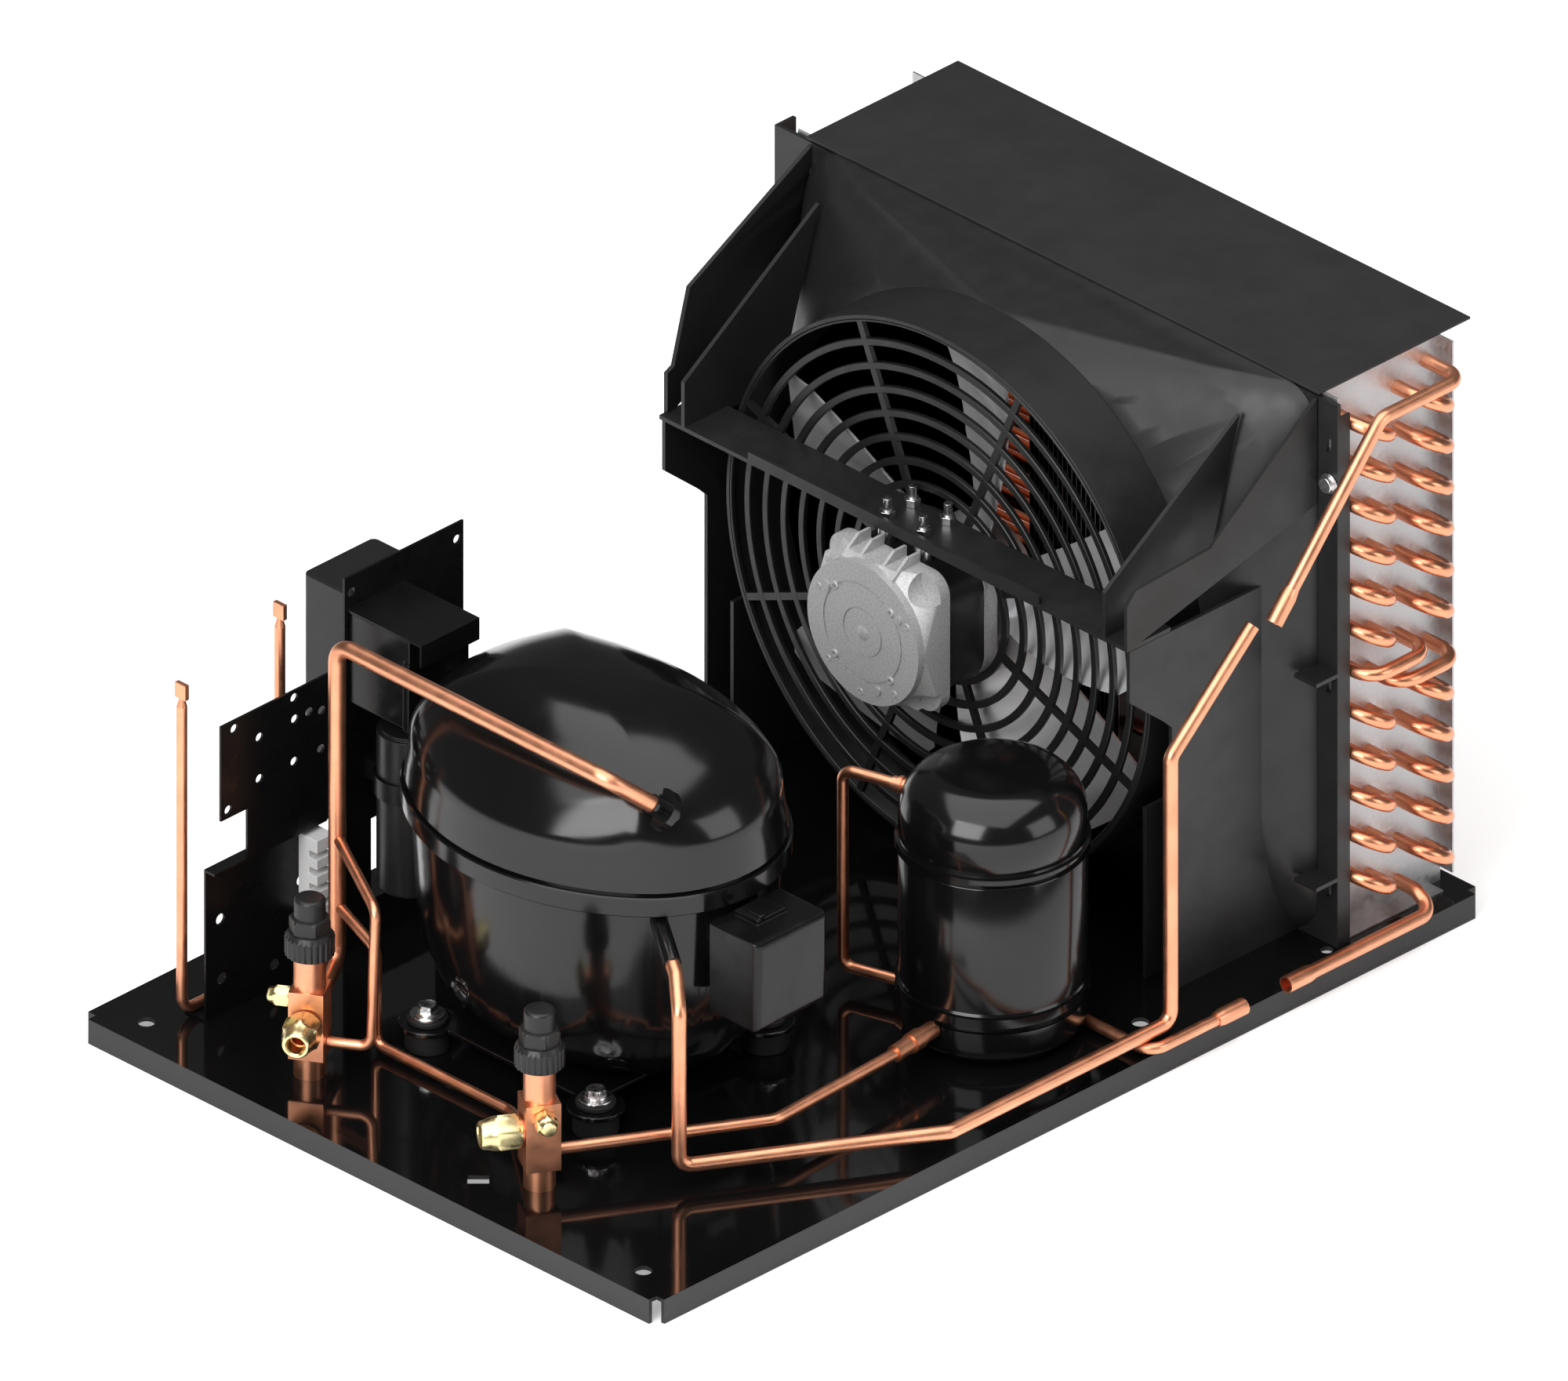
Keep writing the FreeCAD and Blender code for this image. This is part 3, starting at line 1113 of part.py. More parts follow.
def make_capacitor_strap():
    """The strap that holds the capacitor to the electrical bracket."""
    x, y = CAPACITOR_AT
    radius = CAPACITOR_RADIUS + SEAT_GAP
    band = ring(radius + 1.5, radius, (x, y, 118), (x, y, 130))
    tongue = box(x - 8, x + 8, y + radius - 4, CONTROL_Y, 118, 130)
    return band.fuse(tongue.cut(rod(radius, (x, y, 117), (x, y, 131))))


def make_terminal_strip():
    """The notched terminal strip that stands beside the capacitor."""
    x0, x1 = 112.0, 125.0
    y0, y1 = CONTROL_Y - 14, CONTROL_Y
    strip = box(x0, x1, y0, y1, 56, 104)
    notches = [box(x0 - 1, x1 + 1, y0 - 1, y0 + 6, z, z + 4) for z in (62, 72, 82, 92)]
    return strip.cut(notches)


def make_riser(x, y, top, reach_x):
    """Return a pinched charging tube: up from a foot that runs along the base."""
    low = BASE_HEIGHT + PLATE_SHEET + SEAT_GAP + CONTROL_OD / 2
    run = pipe([(reach_x, y, low), (x, y, low), (x, y, top - 14)], CONTROL_OD, 9.0)
    start = V(x, y, top - 14.2)
    taper = Part.makeCone(CONTROL_OD / 2, 1.4, 6, start, V(0, 0, 1))
    tip = box(x - 1.4, x + 1.4, y - 4.0, y + 4.0, top - 9, top)
    return run.fuse([taper, tip])


def make_risers():
    """The two charging tubes: at the outer corner and behind the control plate."""
    return Part.makeCompound([make_riser(36.0, 395.2, 222.0, 96.0), make_riser(113.0, 398.0, 239.0, 138.0)])


def make_control_lines():
    """The lines from the valves' low ports, along the base and up into the suction pipe."""
    z = LOW_PORT_Z
    near = valve_point(VALVE_FRONT, VALVE_TURN_FRONT, VALVE_BODY / 2 + SEAT_GAP, z)
    out = valve_point(VALVE_FRONT, VALVE_TURN_FRONT, 26.0, z)
    low = BASE_HEIGHT + CONTROL_OD / 2 + 1.5
    long_run = [near, out, (85.0, 196.0, low), (85.0, 297.0, low), (85.0, 297.0, 78.0), suction_riser(84.0)]
    near = valve_point(VALVE_REAR, VALVE_TURN_REAR - 90, VALVE_BODY / 2 + SEAT_GAP, z)
    out = valve_point(VALVE_REAR, VALVE_TURN_REAR - 90, 34.0, z)
    short_run = [near, out, (out[0] + 4.0, out[1] + 1.0, 118.0), suction_riser(126.0)]
    return Part.makeCompound([pipe(run, CONTROL_OD, 7.0).cut(riser_space()) for run in (long_run, short_run)])


def suction_riser(z):
    """Return the point on the axis of the suction pipe's riser at a height."""
    return valve_point(VALVE_REAR, VALVE_TURN_REAR, SUCTION_REACH, z)


def riser_space():
    """Return the space of the suction pipe's riser, grown by the seat gap."""
    return rod(SUCTION_OD / 2 + SEAT_GAP, suction_riser(VALVE_PORT_Z), suction_riser(SUCTION_TOP_Z))


def make_bracket_studs():
    """Four studs with nuts, which hang the motor from its bracket."""
    studs = []
    for x in STUD_X:
        for y in (-STUD_OFFSET, STUD_OFFSET):
            place = (x, MID_Y + y)
            bottom = FAN_Z + STATOR_HALF
            shank = rod(STUD_RADIUS - JOINT_GAP, (*place, bottom), (*place, BRACKET_Z + WALL + 12))
            nut = hex_bar(8.0, (*place, BRACKET_Z + WALL), (*place, BRACKET_Z + WALL + 4.5))
            spacer = rod(5.0, (*place, bottom), (*place, BRACKET_Z))
            studs.append(shank.fuse([nut, spacer]))
    return Part.makeCompound(studs)


def make_frame_screws():
    """The screws with washers that hold the shroud's frame to the coil."""
    screws = []
    face, z = FRAME_FRONT_X, SCREW_Z
    for y in screw_places():
        washer = rod(6.0, (face - 1.2, y, z), (face, y, z))
        head = rod(4.5, (face - 4.2, y, z), (face - 1.0, y, z))
        shank = rod(SCREW_RADIUS, (face - 1.0, y, z), (COIL_FRONT_X + 4, y, z))
        screws.append(washer.fuse([head, shank]))
    return Part.makeCompound(screws)


BUILDERS = {
    "base_plate": make_base_plate,
    "top_panel": make_top_panel,
    "end_plate_service": make_end_plate,
    "end_plate_far": lambda: mirrored(make_end_plate()),
    "fin_pack": make_fin_pack,
    "coil_tubes": make_coil_tubes,
    "return_bends": make_front_bends,
    "hairpin_ends": make_back_bends,
    "gas_inlet_pipe": make_gas_inlet,
    "liquid_outlet_pipe": make_liquid_outlet,
    "fan_shroud": make_shroud,
    "shroud_frame": make_shroud_frame,
    "shroud_walls": make_shroud_walls,
    "fan_guard": make_guard,
    "fan": make_fan,
    "motor_front": make_motor_front,
    "motor_stator": make_motor_stator,
    "motor_rear": make_motor_rear,
    "motor_rotor": make_motor_rotor,
    "motor_bracket": make_motor_bracket,
    "motor_studs": make_bracket_studs,
    "frame_screws": make_frame_screws,
    "compressor_shell_lower": make_shell_lower,
    "compressor_shell_upper": make_shell_upper,
    "compressor_feet": make_foot_plate,
    "foot_grommets": make_grommets,
    "foot_bolts": make_foot_bolts,
    "terminal_cover": make_terminal_cover,
    "terminal_block": make_terminal_block,
    "pump_stator": make_pump_stator,
    "pump_crank": make_pump_crank,
    "pump_block": make_pump_block,
    "pump_springs": make_pump_springs,
    "suction_stub": make_suction_stub,
    "discharge_stub": make_discharge_stub,
    "receiver": make_receiver,
    "receiver_bypass": make_bypass_pipe,
    "receiver_inlet": make_receiver_inlet,
    "liquid_line": make_liquid_line,
    "discharge_pipe": make_discharge_pipe,
    "suction_pipe": make_suction_pipe,
    "liquid_valve_body": lambda: valve_body(VALVE_FRONT, VALVE_TURN_FRONT, NUT_TURN_FRONT, PLUG_TURN_FRONT),
    "liquid_valve_stem": lambda: valve_stem(VALVE_FRONT),
    "liquid_valve_cap": lambda: valve_cap(VALVE_FRONT),
    "liquid_flare_nut": lambda: flare_nut(VALVE_FRONT, NUT_TURN_FRONT),
    "liquid_port_plug": lambda: port_plug(VALVE_FRONT, PLUG_TURN_FRONT),
    "suction_valve_body": lambda: valve_body(VALVE_REAR, VALVE_TURN_REAR, NUT_TURN_REAR, PLUG_TURN_REAR),
    "suction_valve_stem": lambda: valve_stem(VALVE_REAR),
    "suction_valve_cap": lambda: valve_cap(VALVE_REAR),
    "suction_flare_nut": lambda: flare_nut(VALVE_REAR, NUT_TURN_REAR),
    "suction_port_plug": lambda: port_plug(VALVE_REAR, PLUG_TURN_REAR),
    "control_plate": make_control_plate,
    "electrical_bracket": make_electrical_bracket,
    "relay_box": make_relay_box,
    "control_box": make_contactor,
    "capacitor": make_capacitor,
    "capacitor_strap": make_capacitor_strap,
    "terminal_strip": make_terminal_strip,
    "charging_tubes": make_risers,
    "control_lines": make_control_lines,
}


def main():
    """Build each sub-part, move it to the part's origin and write it."""
    for name, builder in BUILDERS.items():
        shape = builder()
        shape.translate(V(-ORIGIN_X, -ORIGIN_Y, 0))
        shape.exportStep("parts/" + name + ".step")
        print(name, len(shape.Solids), shape.isValid(), round(shape.Volume / 1000, 2))


main()
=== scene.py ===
"""Looks of an air-cooled refrigeration condensing unit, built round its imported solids."""
import json
import logging
import math
from dataclasses import dataclass
from enum import Enum
from functools import partial
from typing import Callable, Iterable, Sequence

import bmesh
import bpy
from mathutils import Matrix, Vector


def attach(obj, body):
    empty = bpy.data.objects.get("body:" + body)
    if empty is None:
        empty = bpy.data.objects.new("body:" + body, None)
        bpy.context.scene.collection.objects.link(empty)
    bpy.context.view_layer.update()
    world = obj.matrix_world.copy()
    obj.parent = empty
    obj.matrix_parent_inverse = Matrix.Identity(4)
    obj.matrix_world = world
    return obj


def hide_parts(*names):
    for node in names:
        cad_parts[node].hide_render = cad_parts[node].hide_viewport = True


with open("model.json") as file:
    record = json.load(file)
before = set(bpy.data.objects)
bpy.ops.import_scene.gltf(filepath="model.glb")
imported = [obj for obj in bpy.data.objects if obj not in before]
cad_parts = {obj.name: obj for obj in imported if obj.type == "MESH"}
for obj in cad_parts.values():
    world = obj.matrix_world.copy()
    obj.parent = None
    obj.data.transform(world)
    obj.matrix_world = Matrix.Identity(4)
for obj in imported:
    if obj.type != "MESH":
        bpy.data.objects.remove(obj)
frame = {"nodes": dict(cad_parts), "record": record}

LOG = logging.getLogger("condensing_unit")
MM = 0.001
ORIGIN = (320.0, 214.5)
ROOT = "unit"
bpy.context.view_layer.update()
FAN_Y, FAN_Z = 218.0, 187.5
UP = (0, 0, 1)
AIRFLOW = (1, 0, 0)
MERGE = 1e-6

Socket = bpy.types.NodeSocket
Point = Sequence[float]
Triple = tuple[float, float, float]
Radius = float | Callable[[float], float]
Levels = list[tuple[float, Radius]]


def at(x: float, y: float, z: float) -> Vector:
    """Return a point in metres from millimetres off the base's own corner."""
    return Vector(((x - ORIGIN[0]) * MM, (y - ORIGIN[1]) * MM, z * MM))


class Grain(Enum):
    """The small surface texture that a finish shows."""

    SMOOTH = "smooth"
    PEEL = "peel"
    SAND = "sand"
    BRUSHED = "brushed"
    SPANGLE = "spangle"


class Nodes:
    """A node tree, built one node at a time."""

    def __init__(self, tree: bpy.types.NodeTree) -> None:
        """Empty a tree, to build it afresh."""
        self.tree = tree
        tree.nodes.clear()

    def node(self, kind: str, feeds: dict[str | int, object] | None = None,
             **settings: object) -> bpy.types.Node:
        """Add a node and return it.

        Args:
            kind: The node's type.
            feeds: A value or another node's output for each input, by its name or number.
            settings: The node's properties.
        """
        node = self.tree.nodes.new(kind)
        for key, value in settings.items():
            setattr(node, key, value)
        for key, value in (feeds or {}).items():
            self.feed(node.inputs[key], value)
        return node

    def feed(self, socket: Socket, value: object) -> None:
        """Feed an input from another node's output, or set it."""
        if isinstance(value, Socket):
            self.tree.links.new(value, socket)
        else:
            socket.default_value = value

    def add(self, kind: str, feeds: dict[str | int, object] | None = None,
            **settings: object) -> Socket:
        """Add a node, as node does, and return its first output."""
        return self.node(kind, feeds, **settings).outputs[0]

    def math(self, operation: str, first: object, second: object) -> Socket:
        """Return the result of a sum on two values."""
        return self.add("ShaderNodeMath", {0: first, 1: second}, operation=operation)


def new_material(name: str) -> bpy.types.Material:
    """Return a new material that uses nodes."""
    material = bpy.data.materials.new(name)
    material.use_nodes = True
    return material


class Shading(Nodes):
    """Builds one material's nodes, on Object coordinates throughout."""

    def __init__(self, name: str) -> None:
        """Make a material of a name, with only its shader and output."""
        self.material = new_material(name)
        super().__init__(self.material.node_tree)
        self.shader = self.node("ShaderNodeBsdfPrincipled")
        self.node("ShaderNodeOutputMaterial", {"Surface": self.shader.outputs["BSDF"]})
        self.place = self.node("ShaderNodeTexCoord").outputs["Object"]

    def noise(self, size: float, detail: float = 3.0, stretch: Point = (1, 1, 1)) -> Socket:
        """Return a noise, about 0 to 1, whose features have one size.

        Args:
            size: The size of a feature, in metres.
            detail: How many finer layers are added.
            stretch: A stretch along each axis.
        """
        place = self.add("ShaderNodeMapping", {"Vector": self.place, "Scale": stretch})
        return self.add(
            "ShaderNodeTexNoise", {"Vector": place, "Scale": 1.0 / size, "Detail": detail})

    def cells(self, size: float) -> Socket:
        """Return a random grey for each cell of a given size in metres."""
        cells = self.node("ShaderNodeTexVoronoi", {"Vector": self.place, "Scale": 1.0 / size})
        return self.add("ShaderNodeSeparateColor", {"Color": cells.outputs["Color"]})

    def ranged(self, value: Socket, low: float, high: float, start: float = 0.3,
               end: float = 0.7) -> Socket:
        """Return a value mapped from one range to another."""
        return self.add("ShaderNodeMapRange", {
            "Value": value, "From Min": start, "From Max": end, "To Min": low, "To Max": high})

    def mixed(self, factor: Socket, first: object, second: object) -> Socket:
        """Return a mix of two colours, each given as a tuple or a socket."""
        first, second = (
            value if isinstance(value, Socket) else (*value, 1.0) for value in (first, second))
        node = self.node("ShaderNodeMix", data_type="RGBA")
        for place, value in ((0, factor), (6, first), (7, second)):
            self.feed(node.inputs[place], value)
        return node.outputs[2]

    def bump(self, height: Socket, depth: float) -> None:
        """Raise the surface by a height, to a depth in metres."""
        normal = self.add(
            "ShaderNodeBump", {"Height": height, "Strength": 1.0, "Distance": depth})
        self.feed(self.shader.inputs["Normal"], normal)

    def past(self, axis: str, place: float) -> Socket:
        """Return 1 past a place in metres along an axis, X, Y or Z, and 0 before it."""
        split = self.node("ShaderNodeSeparateXYZ", {"Vector": self.place})
        return self.math("GREATER_THAN", split.outputs[axis], place)


@dataclass(frozen=True)
class Finish:
    """One finish: its colour, gloss and the small texture that goes with it.

    The blotch is how far the colour varies, and the lift and fine blotch are shares of it.
    """

    name: str
    color: Triple
    metallic: float = 0.0
    roughness: float = 0.5
    spread: float = 0.06
    specular: float = 0.5
    grain: Grain = Grain.SMOOTH
    grain_size: float = 0.001
    grain_depth: float = 0.00002
    blotch: float = 0.12
    blotch_size: float = 0.04
    lift: float = 0.6
    fine_blotch: float = 0.4
    brush_stretch: float = 14
    grit_range: tuple[float, float] = (0.35, 0.6)

    def material(self) -> bpy.types.Material:
        """Return the finish's material, built the first time it is asked for."""
        ready = bpy.data.materials.get("look_" + self.name)
        return ready if ready is not None else self.build().material

    def build(self) -> Shading:
        """Build the finish's nodes and return the shading, for a finish that adds to it."""
        shading = Shading("look_" + self.name)
        darker = tuple(channel * (1.0 - self.blotch) for channel in self.color)
        lighter = tuple(
            min(1.0, channel * (1.0 + self.blotch * self.lift)) for channel in self.color)
        smooth, dull = self.roughness - self.spread, self.roughness + self.spread
        broad = shading.ranged(shading.noise(self.blotch_size), 0.0, 1.0)
        color = shading.mixed(broad, darker, lighter)
        rough = shading.ranged(shading.noise(self.blotch_size * self.fine_blotch), smooth, dull)
        if self.grain is Grain.SPANGLE:
            cells = shading.cells(self.grain_size)
            color = shading.mixed(shading.ranged(cells, 0.0, 1.0, 0.0, 1.0), darker, lighter)
            rough = shading.ranged(cells, smooth, dull, 0.0, 1.0)
            shading.bump(cells, self.grain_depth)
        elif self.grain is Grain.BRUSHED:
            lines = shading.noise(self.grain_size, 4.0, (1, 1, self.brush_stretch))
            shading.bump(lines, self.grain_depth)
        elif self.grain is Grain.SAND:
            grit = shading.noise(self.grain_size, 5.0)
            color = shading.mixed(shading.ranged(grit, 0.0, 1.0, *self.grit_range), darker, lighter)
            shading.bump(grit, self.grain_depth)
        elif self.grain is Grain.PEEL:
            shading.bump(shading.noise(self.grain_size, 1.5), self.grain_depth)
        for name, value in (("Base Color", color), ("Roughness", rough),
                            ("Metallic", self.metallic), ("Specular IOR Level", self.specular)):
            shading.feed(shading.shader.inputs[name], value)
        return shading


@dataclass(frozen=True)
class BaseFinishWithPaintedLight(Finish):
    """The base's paint: gloss on top, where it mirrors the parts, and satin on its flanges, whose
    lighter grey is painted light on the upright faces.
    """

    # The flanges' grey is lighter than the top's. This is painted light that stands in for the
    # light the upright faces catch.
    edge_color: Triple = (0.017, 0.017, 0.018)
    edge_roughness: float = 0.5
    top: float = 0.0149

    def build(self) -> Shading:
        """Build the gloss top and mix in the satin flanges below it, with their lighter grey as
        painted light.
        """
        shading = super().build()
        base, roughness = (shading.shader.inputs[name] for name in ("Base Color", "Roughness"))
        height = shading.past("Z", self.top)
        glossy = roughness.links[0].from_socket
        # Below the top the colour turns to the lighter flange grey, which is painted light on the
        # upright faces.
        shading.feed(base, shading.mixed(height, self.edge_color, base.links[0].from_socket))
        shading.feed(
            roughness, shading.add("ShaderNodeMix", {0: height, 2: self.edge_roughness, 3: glossy}))
        return shading


@dataclass(frozen=True)
class EdgeFinish(Finish):
    """The fins' coating: bare bright metal up to their front edges, and dark past them."""

    edge_color: Triple = (0.5, 0.5, 0.5)
    edge: float = 0.2108

    def build(self) -> Shading:
        """Build the coating and mix in the bare front edges."""
        shading = super().build()
        base = shading.shader.inputs["Base Color"]
        coated = base.links[0].from_socket
        shading.feed(base, shading.mixed(shading.past("X", self.edge), self.edge_color, coated))
        return shading


def grey(level: float, blue: float = 0.0) -> Triple:
    """Return a grey, with a little more blue where it is given."""
    return level, level, blue or level


PEELED = partial(Finish, grain=Grain.PEEL)
SANDED = partial(Finish, grain=Grain.SAND)
METAL = partial(Finish, metallic=1.0)

# Below its top the base takes the lighter flange grey, which is painted light on the upright faces.
GLOSS_BASE = BaseFinishWithPaintedLight(
    "gloss_base", grey(0.0035, 0.0037), roughness=0.07, spread=0.015, specular=0.4,
    grain=Grain.PEEL, grain_size=0.003, grain_depth=0.000004)
GLOSS_BLACK = PEELED(
    "gloss_black", grey(0.0035, 0.0037), roughness=0.15, spread=0.02, specular=0.45,
    grain_size=0.0022, grain_depth=0.000002)
TOP_SHEET = PEELED("top_sheet", grey(0.022, 0.023), specular=0.3, grain_size=0.0016)
DARK_SHEET = PEELED(
    "dark_sheet", grey(0.004, 0.0042), roughness=0.3, specular=0.25, grain_size=0.0016,
    grain_depth=0.00001)
SHROUD_PLASTIC = SANDED(
    "shroud_plastic", grey(0.012, 0.0125), roughness=0.42, specular=0.4, grain_size=0.0012,
    grain_depth=0.000006)
GUARD_PLASTIC = SANDED(
    "guard_plastic", grey(0.010, 0.0105), roughness=0.38, specular=0.4, grain_depth=0.000006)
COVER_PLASTIC = SANDED(
    "cover_plastic", grey(0.004, 0.0042), roughness=0.24, specular=0.3, grain_size=0.0008,
    grain_depth=0.000002)
CAP_PLASTIC = SANDED(
    "cap_plastic", grey(0.010, 0.0105), roughness=0.4, specular=0.4, grain_size=0.0006,
    grain_depth=0.000012)
COPPER = METAL(
    "copper", (0.86, 0.38, 0.22), roughness=0.36, spread=0.05, blotch=0.14, blotch_size=0.02)
COIL_COPPER = METAL(
    "coil_copper", (0.86, 0.36, 0.20), roughness=0.3, spread=0.04, blotch=0.1, blotch_size=0.015)
BRASS = METAL("brass", (0.85, 0.72, 0.38), roughness=0.28, spread=0.04, blotch=0.08,
              blotch_size=0.01)
GALVANISED = METAL(
    "galvanised", grey(0.5, 0.51), roughness=0.44, grain=Grain.SPANGLE, grain_size=0.0022,
    grain_depth=0.000002, blotch=0.1)
ZINC = METAL("zinc_plate", grey(0.68), roughness=0.26, blotch_size=0.006)
CAST_ALUMINIUM = SANDED(
    "cast_aluminium", grey(0.42), metallic=0.35, grain_size=0.0012, grain_depth=0.00005,
    blotch=0.16)
FAN_METAL = Finish(
    "fan_metal", grey(0.78, 0.79), metallic=0.55, roughness=0.34, grain=Grain.BRUSHED,
    grain_size=0.0012, grain_depth=0.000006)
DARK_STEEL = SANDED("dark_steel", grey(0.014, 0.015), metallic=0.2, roughness=0.4)
FIN_BLACK = EdgeFinish("fin_black", grey(0.012), metallic=0.3, roughness=0.42)
RUBBER = SANDED("rubber", grey(0.01), roughness=0.6, specular=0.35, grain_size=0.0008)
GREY_PLASTIC = SANDED(
    "grey_plastic", grey(0.012, 0.0125), roughness=0.34, specular=0.3, grain_size=0.0008)
PALE_PLASTIC = Finish("pale_plastic", grey(0.6), roughness=0.45)

FINISHED_NODES = (
    (GLOSS_BASE, "base_plate"),
    (TOP_SHEET, "top_panel"),
    (GALVANISED, "end_plate_service end_plate_far"),
    (FIN_BLACK, "fin_pack"),
    (COIL_COPPER, "coil_tubes return_bends hairpin_ends"),
    (SHROUD_PLASTIC, "fan_shroud shroud_frame shroud_walls motor_bracket"),
    (GUARD_PLASTIC, "fan_guard"),
    (FAN_METAL, "fan"),
    (CAST_ALUMINIUM, "motor_front motor_rear"),
    (DARK_STEEL, "motor_stator motor_rotor pump_stator pump_block"),
    (GLOSS_BLACK, "compressor_shell_lower compressor_shell_upper compressor_feet suction_stub "
                  "discharge_stub receiver"),
    (RUBBER, "foot_grommets"),
    (COVER_PLASTIC, "terminal_cover relay_box"),
    (ZINC, "motor_studs frame_screws foot_bolts terminal_block pump_crank pump_springs "
           "liquid_valve_stem suction_valve_stem"),
    (COPPER, "gas_inlet_pipe liquid_outlet_pipe receiver_bypass receiver_inlet liquid_line "
             "discharge_pipe suction_pipe liquid_valve_body suction_valve_body charging_tubes "
             "control_lines"),
    (CAP_PLASTIC, "liquid_valve_cap suction_valve_cap"),
    (BRASS, "liquid_flare_nut liquid_port_plug suction_flare_nut suction_port_plug"),
    (DARK_SHEET, "control_plate electrical_bracket capacitor_strap"),
    (GREY_PLASTIC, "control_box capacitor"),
    (PALE_PLASTIC, "terminal_strip"),
)
NODE_FINISHES = {node: finish for finish, nodes in FINISHED_NODES for node in nodes.split()}

ROUNDED_NODES = (
    (0.0012, "base_plate relay_box control_box"),
    (0.0009, "terminal_cover"),
    (0.0008, "motor_bracket motor_rear compressor_feet foot_grommets"),
    (0.0007, "shroud_frame shroud_walls motor_front"),
    (0.0006, "fan_shroud liquid_valve_body suction_valve_body"),
    (0.0005, "frame_screws"),
    (0.0004, "top_panel end_plate_service end_plate_far electrical_bracket capacitor "
             "terminal_strip suction_stub discharge_stub"),
    (0.0003, "motor_stator motor_studs control_plate capacitor_strap"),
    (0.0, "compressor_shell_lower coil_tubes return_bends hairpin_ends gas_inlet_pipe "
          "liquid_outlet_pipe receiver_bypass receiver_inlet liquid_line discharge_pipe "
          "suction_pipe charging_tubes control_lines"),
)
ROUNDED = {node: width for width, nodes in ROUNDED_NODES for node in nodes.split()}


def body_of(node: str) -> str:
    """Return the name of the CAD body that a node belongs to."""
    for body, nodes in frame["record"]["behaviour"]["bodies"].items():
        if node in nodes:
            return body
    raise ValueError(node)


def dress_nodes() -> None:
    """Give each CAD node the finish that it keeps where it shows."""
    for node, finish in NODE_FINISHES.items():
        obj = frame["nodes"].get(node)
        if obj is None:
            LOG.warning("no node %s", node)
            continue
        obj.data.materials.clear()
        obj.data.materials.append(finish.material())
    LOG.info("dressed %d nodes", len(NODE_FINISHES))


def shade(mesh: bpy.types.Mesh, angle: float) -> None:
    """Shade a mesh smooth, with the edges sharper than an angle in degrees kept."""
    for polygon in mesh.polygons:
        polygon.use_smooth = True
    mesh.set_sharp_from_angle(angle=math.radians(angle))


def added(name: str, data: bpy.types.ID) -> bpy.types.Object:
    """Return a new object in the scene, which holds the data given."""
    piece = bpy.data.objects.new(name, data)
    bpy.context.scene.collection.objects.link(piece)
    return piece


def hand_over(work: bmesh.types.BMesh, mesh: bpy.types.Mesh, body: str,
              replaced: Sequence[str], angle: float) -> None:
    """Fill a mesh, shade it and hand it over as one piece, which takes the mesh's name.

    Args:
        work: The shape, which is freed.
        mesh: The mesh that takes it, with its material.
        body: The body that the piece rides on.
        replaced: The CAD nodes that it stands for.
        angle: The angle above which an edge stays sharp, in degrees.
    """
    bmesh.ops.recalc_face_normals(work, faces=work.faces)
    work.to_mesh(mesh)
    work.free()
    shade(mesh, angle)
    piece = added(mesh.name, mesh)
    for node in replaced:
        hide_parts(node)
    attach(piece, body)
    LOG.info("%s: %d faces", mesh.name, len(mesh.polygons))


@dataclass
class Softened:
    """A copy of a CAD node with its edges rounded and its curves shaded smooth."""

    node: str
    finish: Finish
    width: float
    segments: int = 2
    angle: float = 35.0
    merge: float = 2e-6
    flat: float = 0.6

    def build(self) -> None:
        """Copy the node, merge its corners, round its edges and let it stand for the node."""
        mesh = frame["nodes"][self.node].data.copy()
        mesh.name = self.node + "_shape"
        work = bmesh.new()
        work.from_mesh(mesh)
        bmesh.ops.remove_doubles(work, verts=work.verts, dist=self.merge)
        bmesh.ops.dissolve_degenerate(work, dist=MERGE, edges=work.edges)
        bmesh.ops.dissolve_limit(
            work, angle_limit=math.radians(self.flat), verts=work.verts, edges=work.edges)
        work.to_mesh(mesh)
        work.free()
        piece = added(self.node + "_dressed", mesh)
        if mesh.attributes.get("custom_normal"):
            mesh.attributes.remove(mesh.attributes["custom_normal"])
        shade(mesh, self.angle)
        mesh.materials.clear()
        mesh.materials.append(self.finish.material())
        if self.width > 0:
            bevel = piece.modifiers.new("rounded", "BEVEL")
            bevel.width = self.width
            bevel.segments = self.segments
            bevel.limit_method = "ANGLE"
            bevel.angle_limit = math.radians(self.angle)
            bevel.harden_normals = True
            bevel.use_clamp_overlap = True
        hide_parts(self.node)
        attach(piece, body_of(self.node))
        LOG.info("softened %s", self.node)


def quarter(steps: int) -> list[float]:
    """Return evenly spaced angles over a quarter turn, with both its ends, in radians."""
    return [math.radians(90 / steps * step) for step in range(steps + 1)]


def between(low: float, high: float, share: float) -> float:
    """Return the value at a share of the way from one value to another."""
    return low + (high - low) * share


def hexagon(flats: float, limit: float) -> Callable[[float], float]:
    """Return a hexagon's radius by angle, with its corners turned down to a limit.

    Args:
        flats: The width across its flats.
        limit: The largest radius, as a chamfer leaves it.

    Returns:
        A function from an angle to a radius.
    """
    def radius(angle: float) -> float:
        inside = (angle % (math.pi / 3)) - math.pi / 6
        return min(flats / 2 / math.cos(inside), limit)
    return radius


def ribbed(outer: float, depth: float, count: int,
           fullness: float = 1.6) -> Callable[[float], float]:
    """Return a ribbed round's radius by angle, with a number of ribs of one depth."""
    def radius(angle: float) -> float:
        wave = 0.5 + 0.5 * math.cos(count * angle)
        return outer - depth * (1.0 - min(1.0, fullness * wave))
    return radius


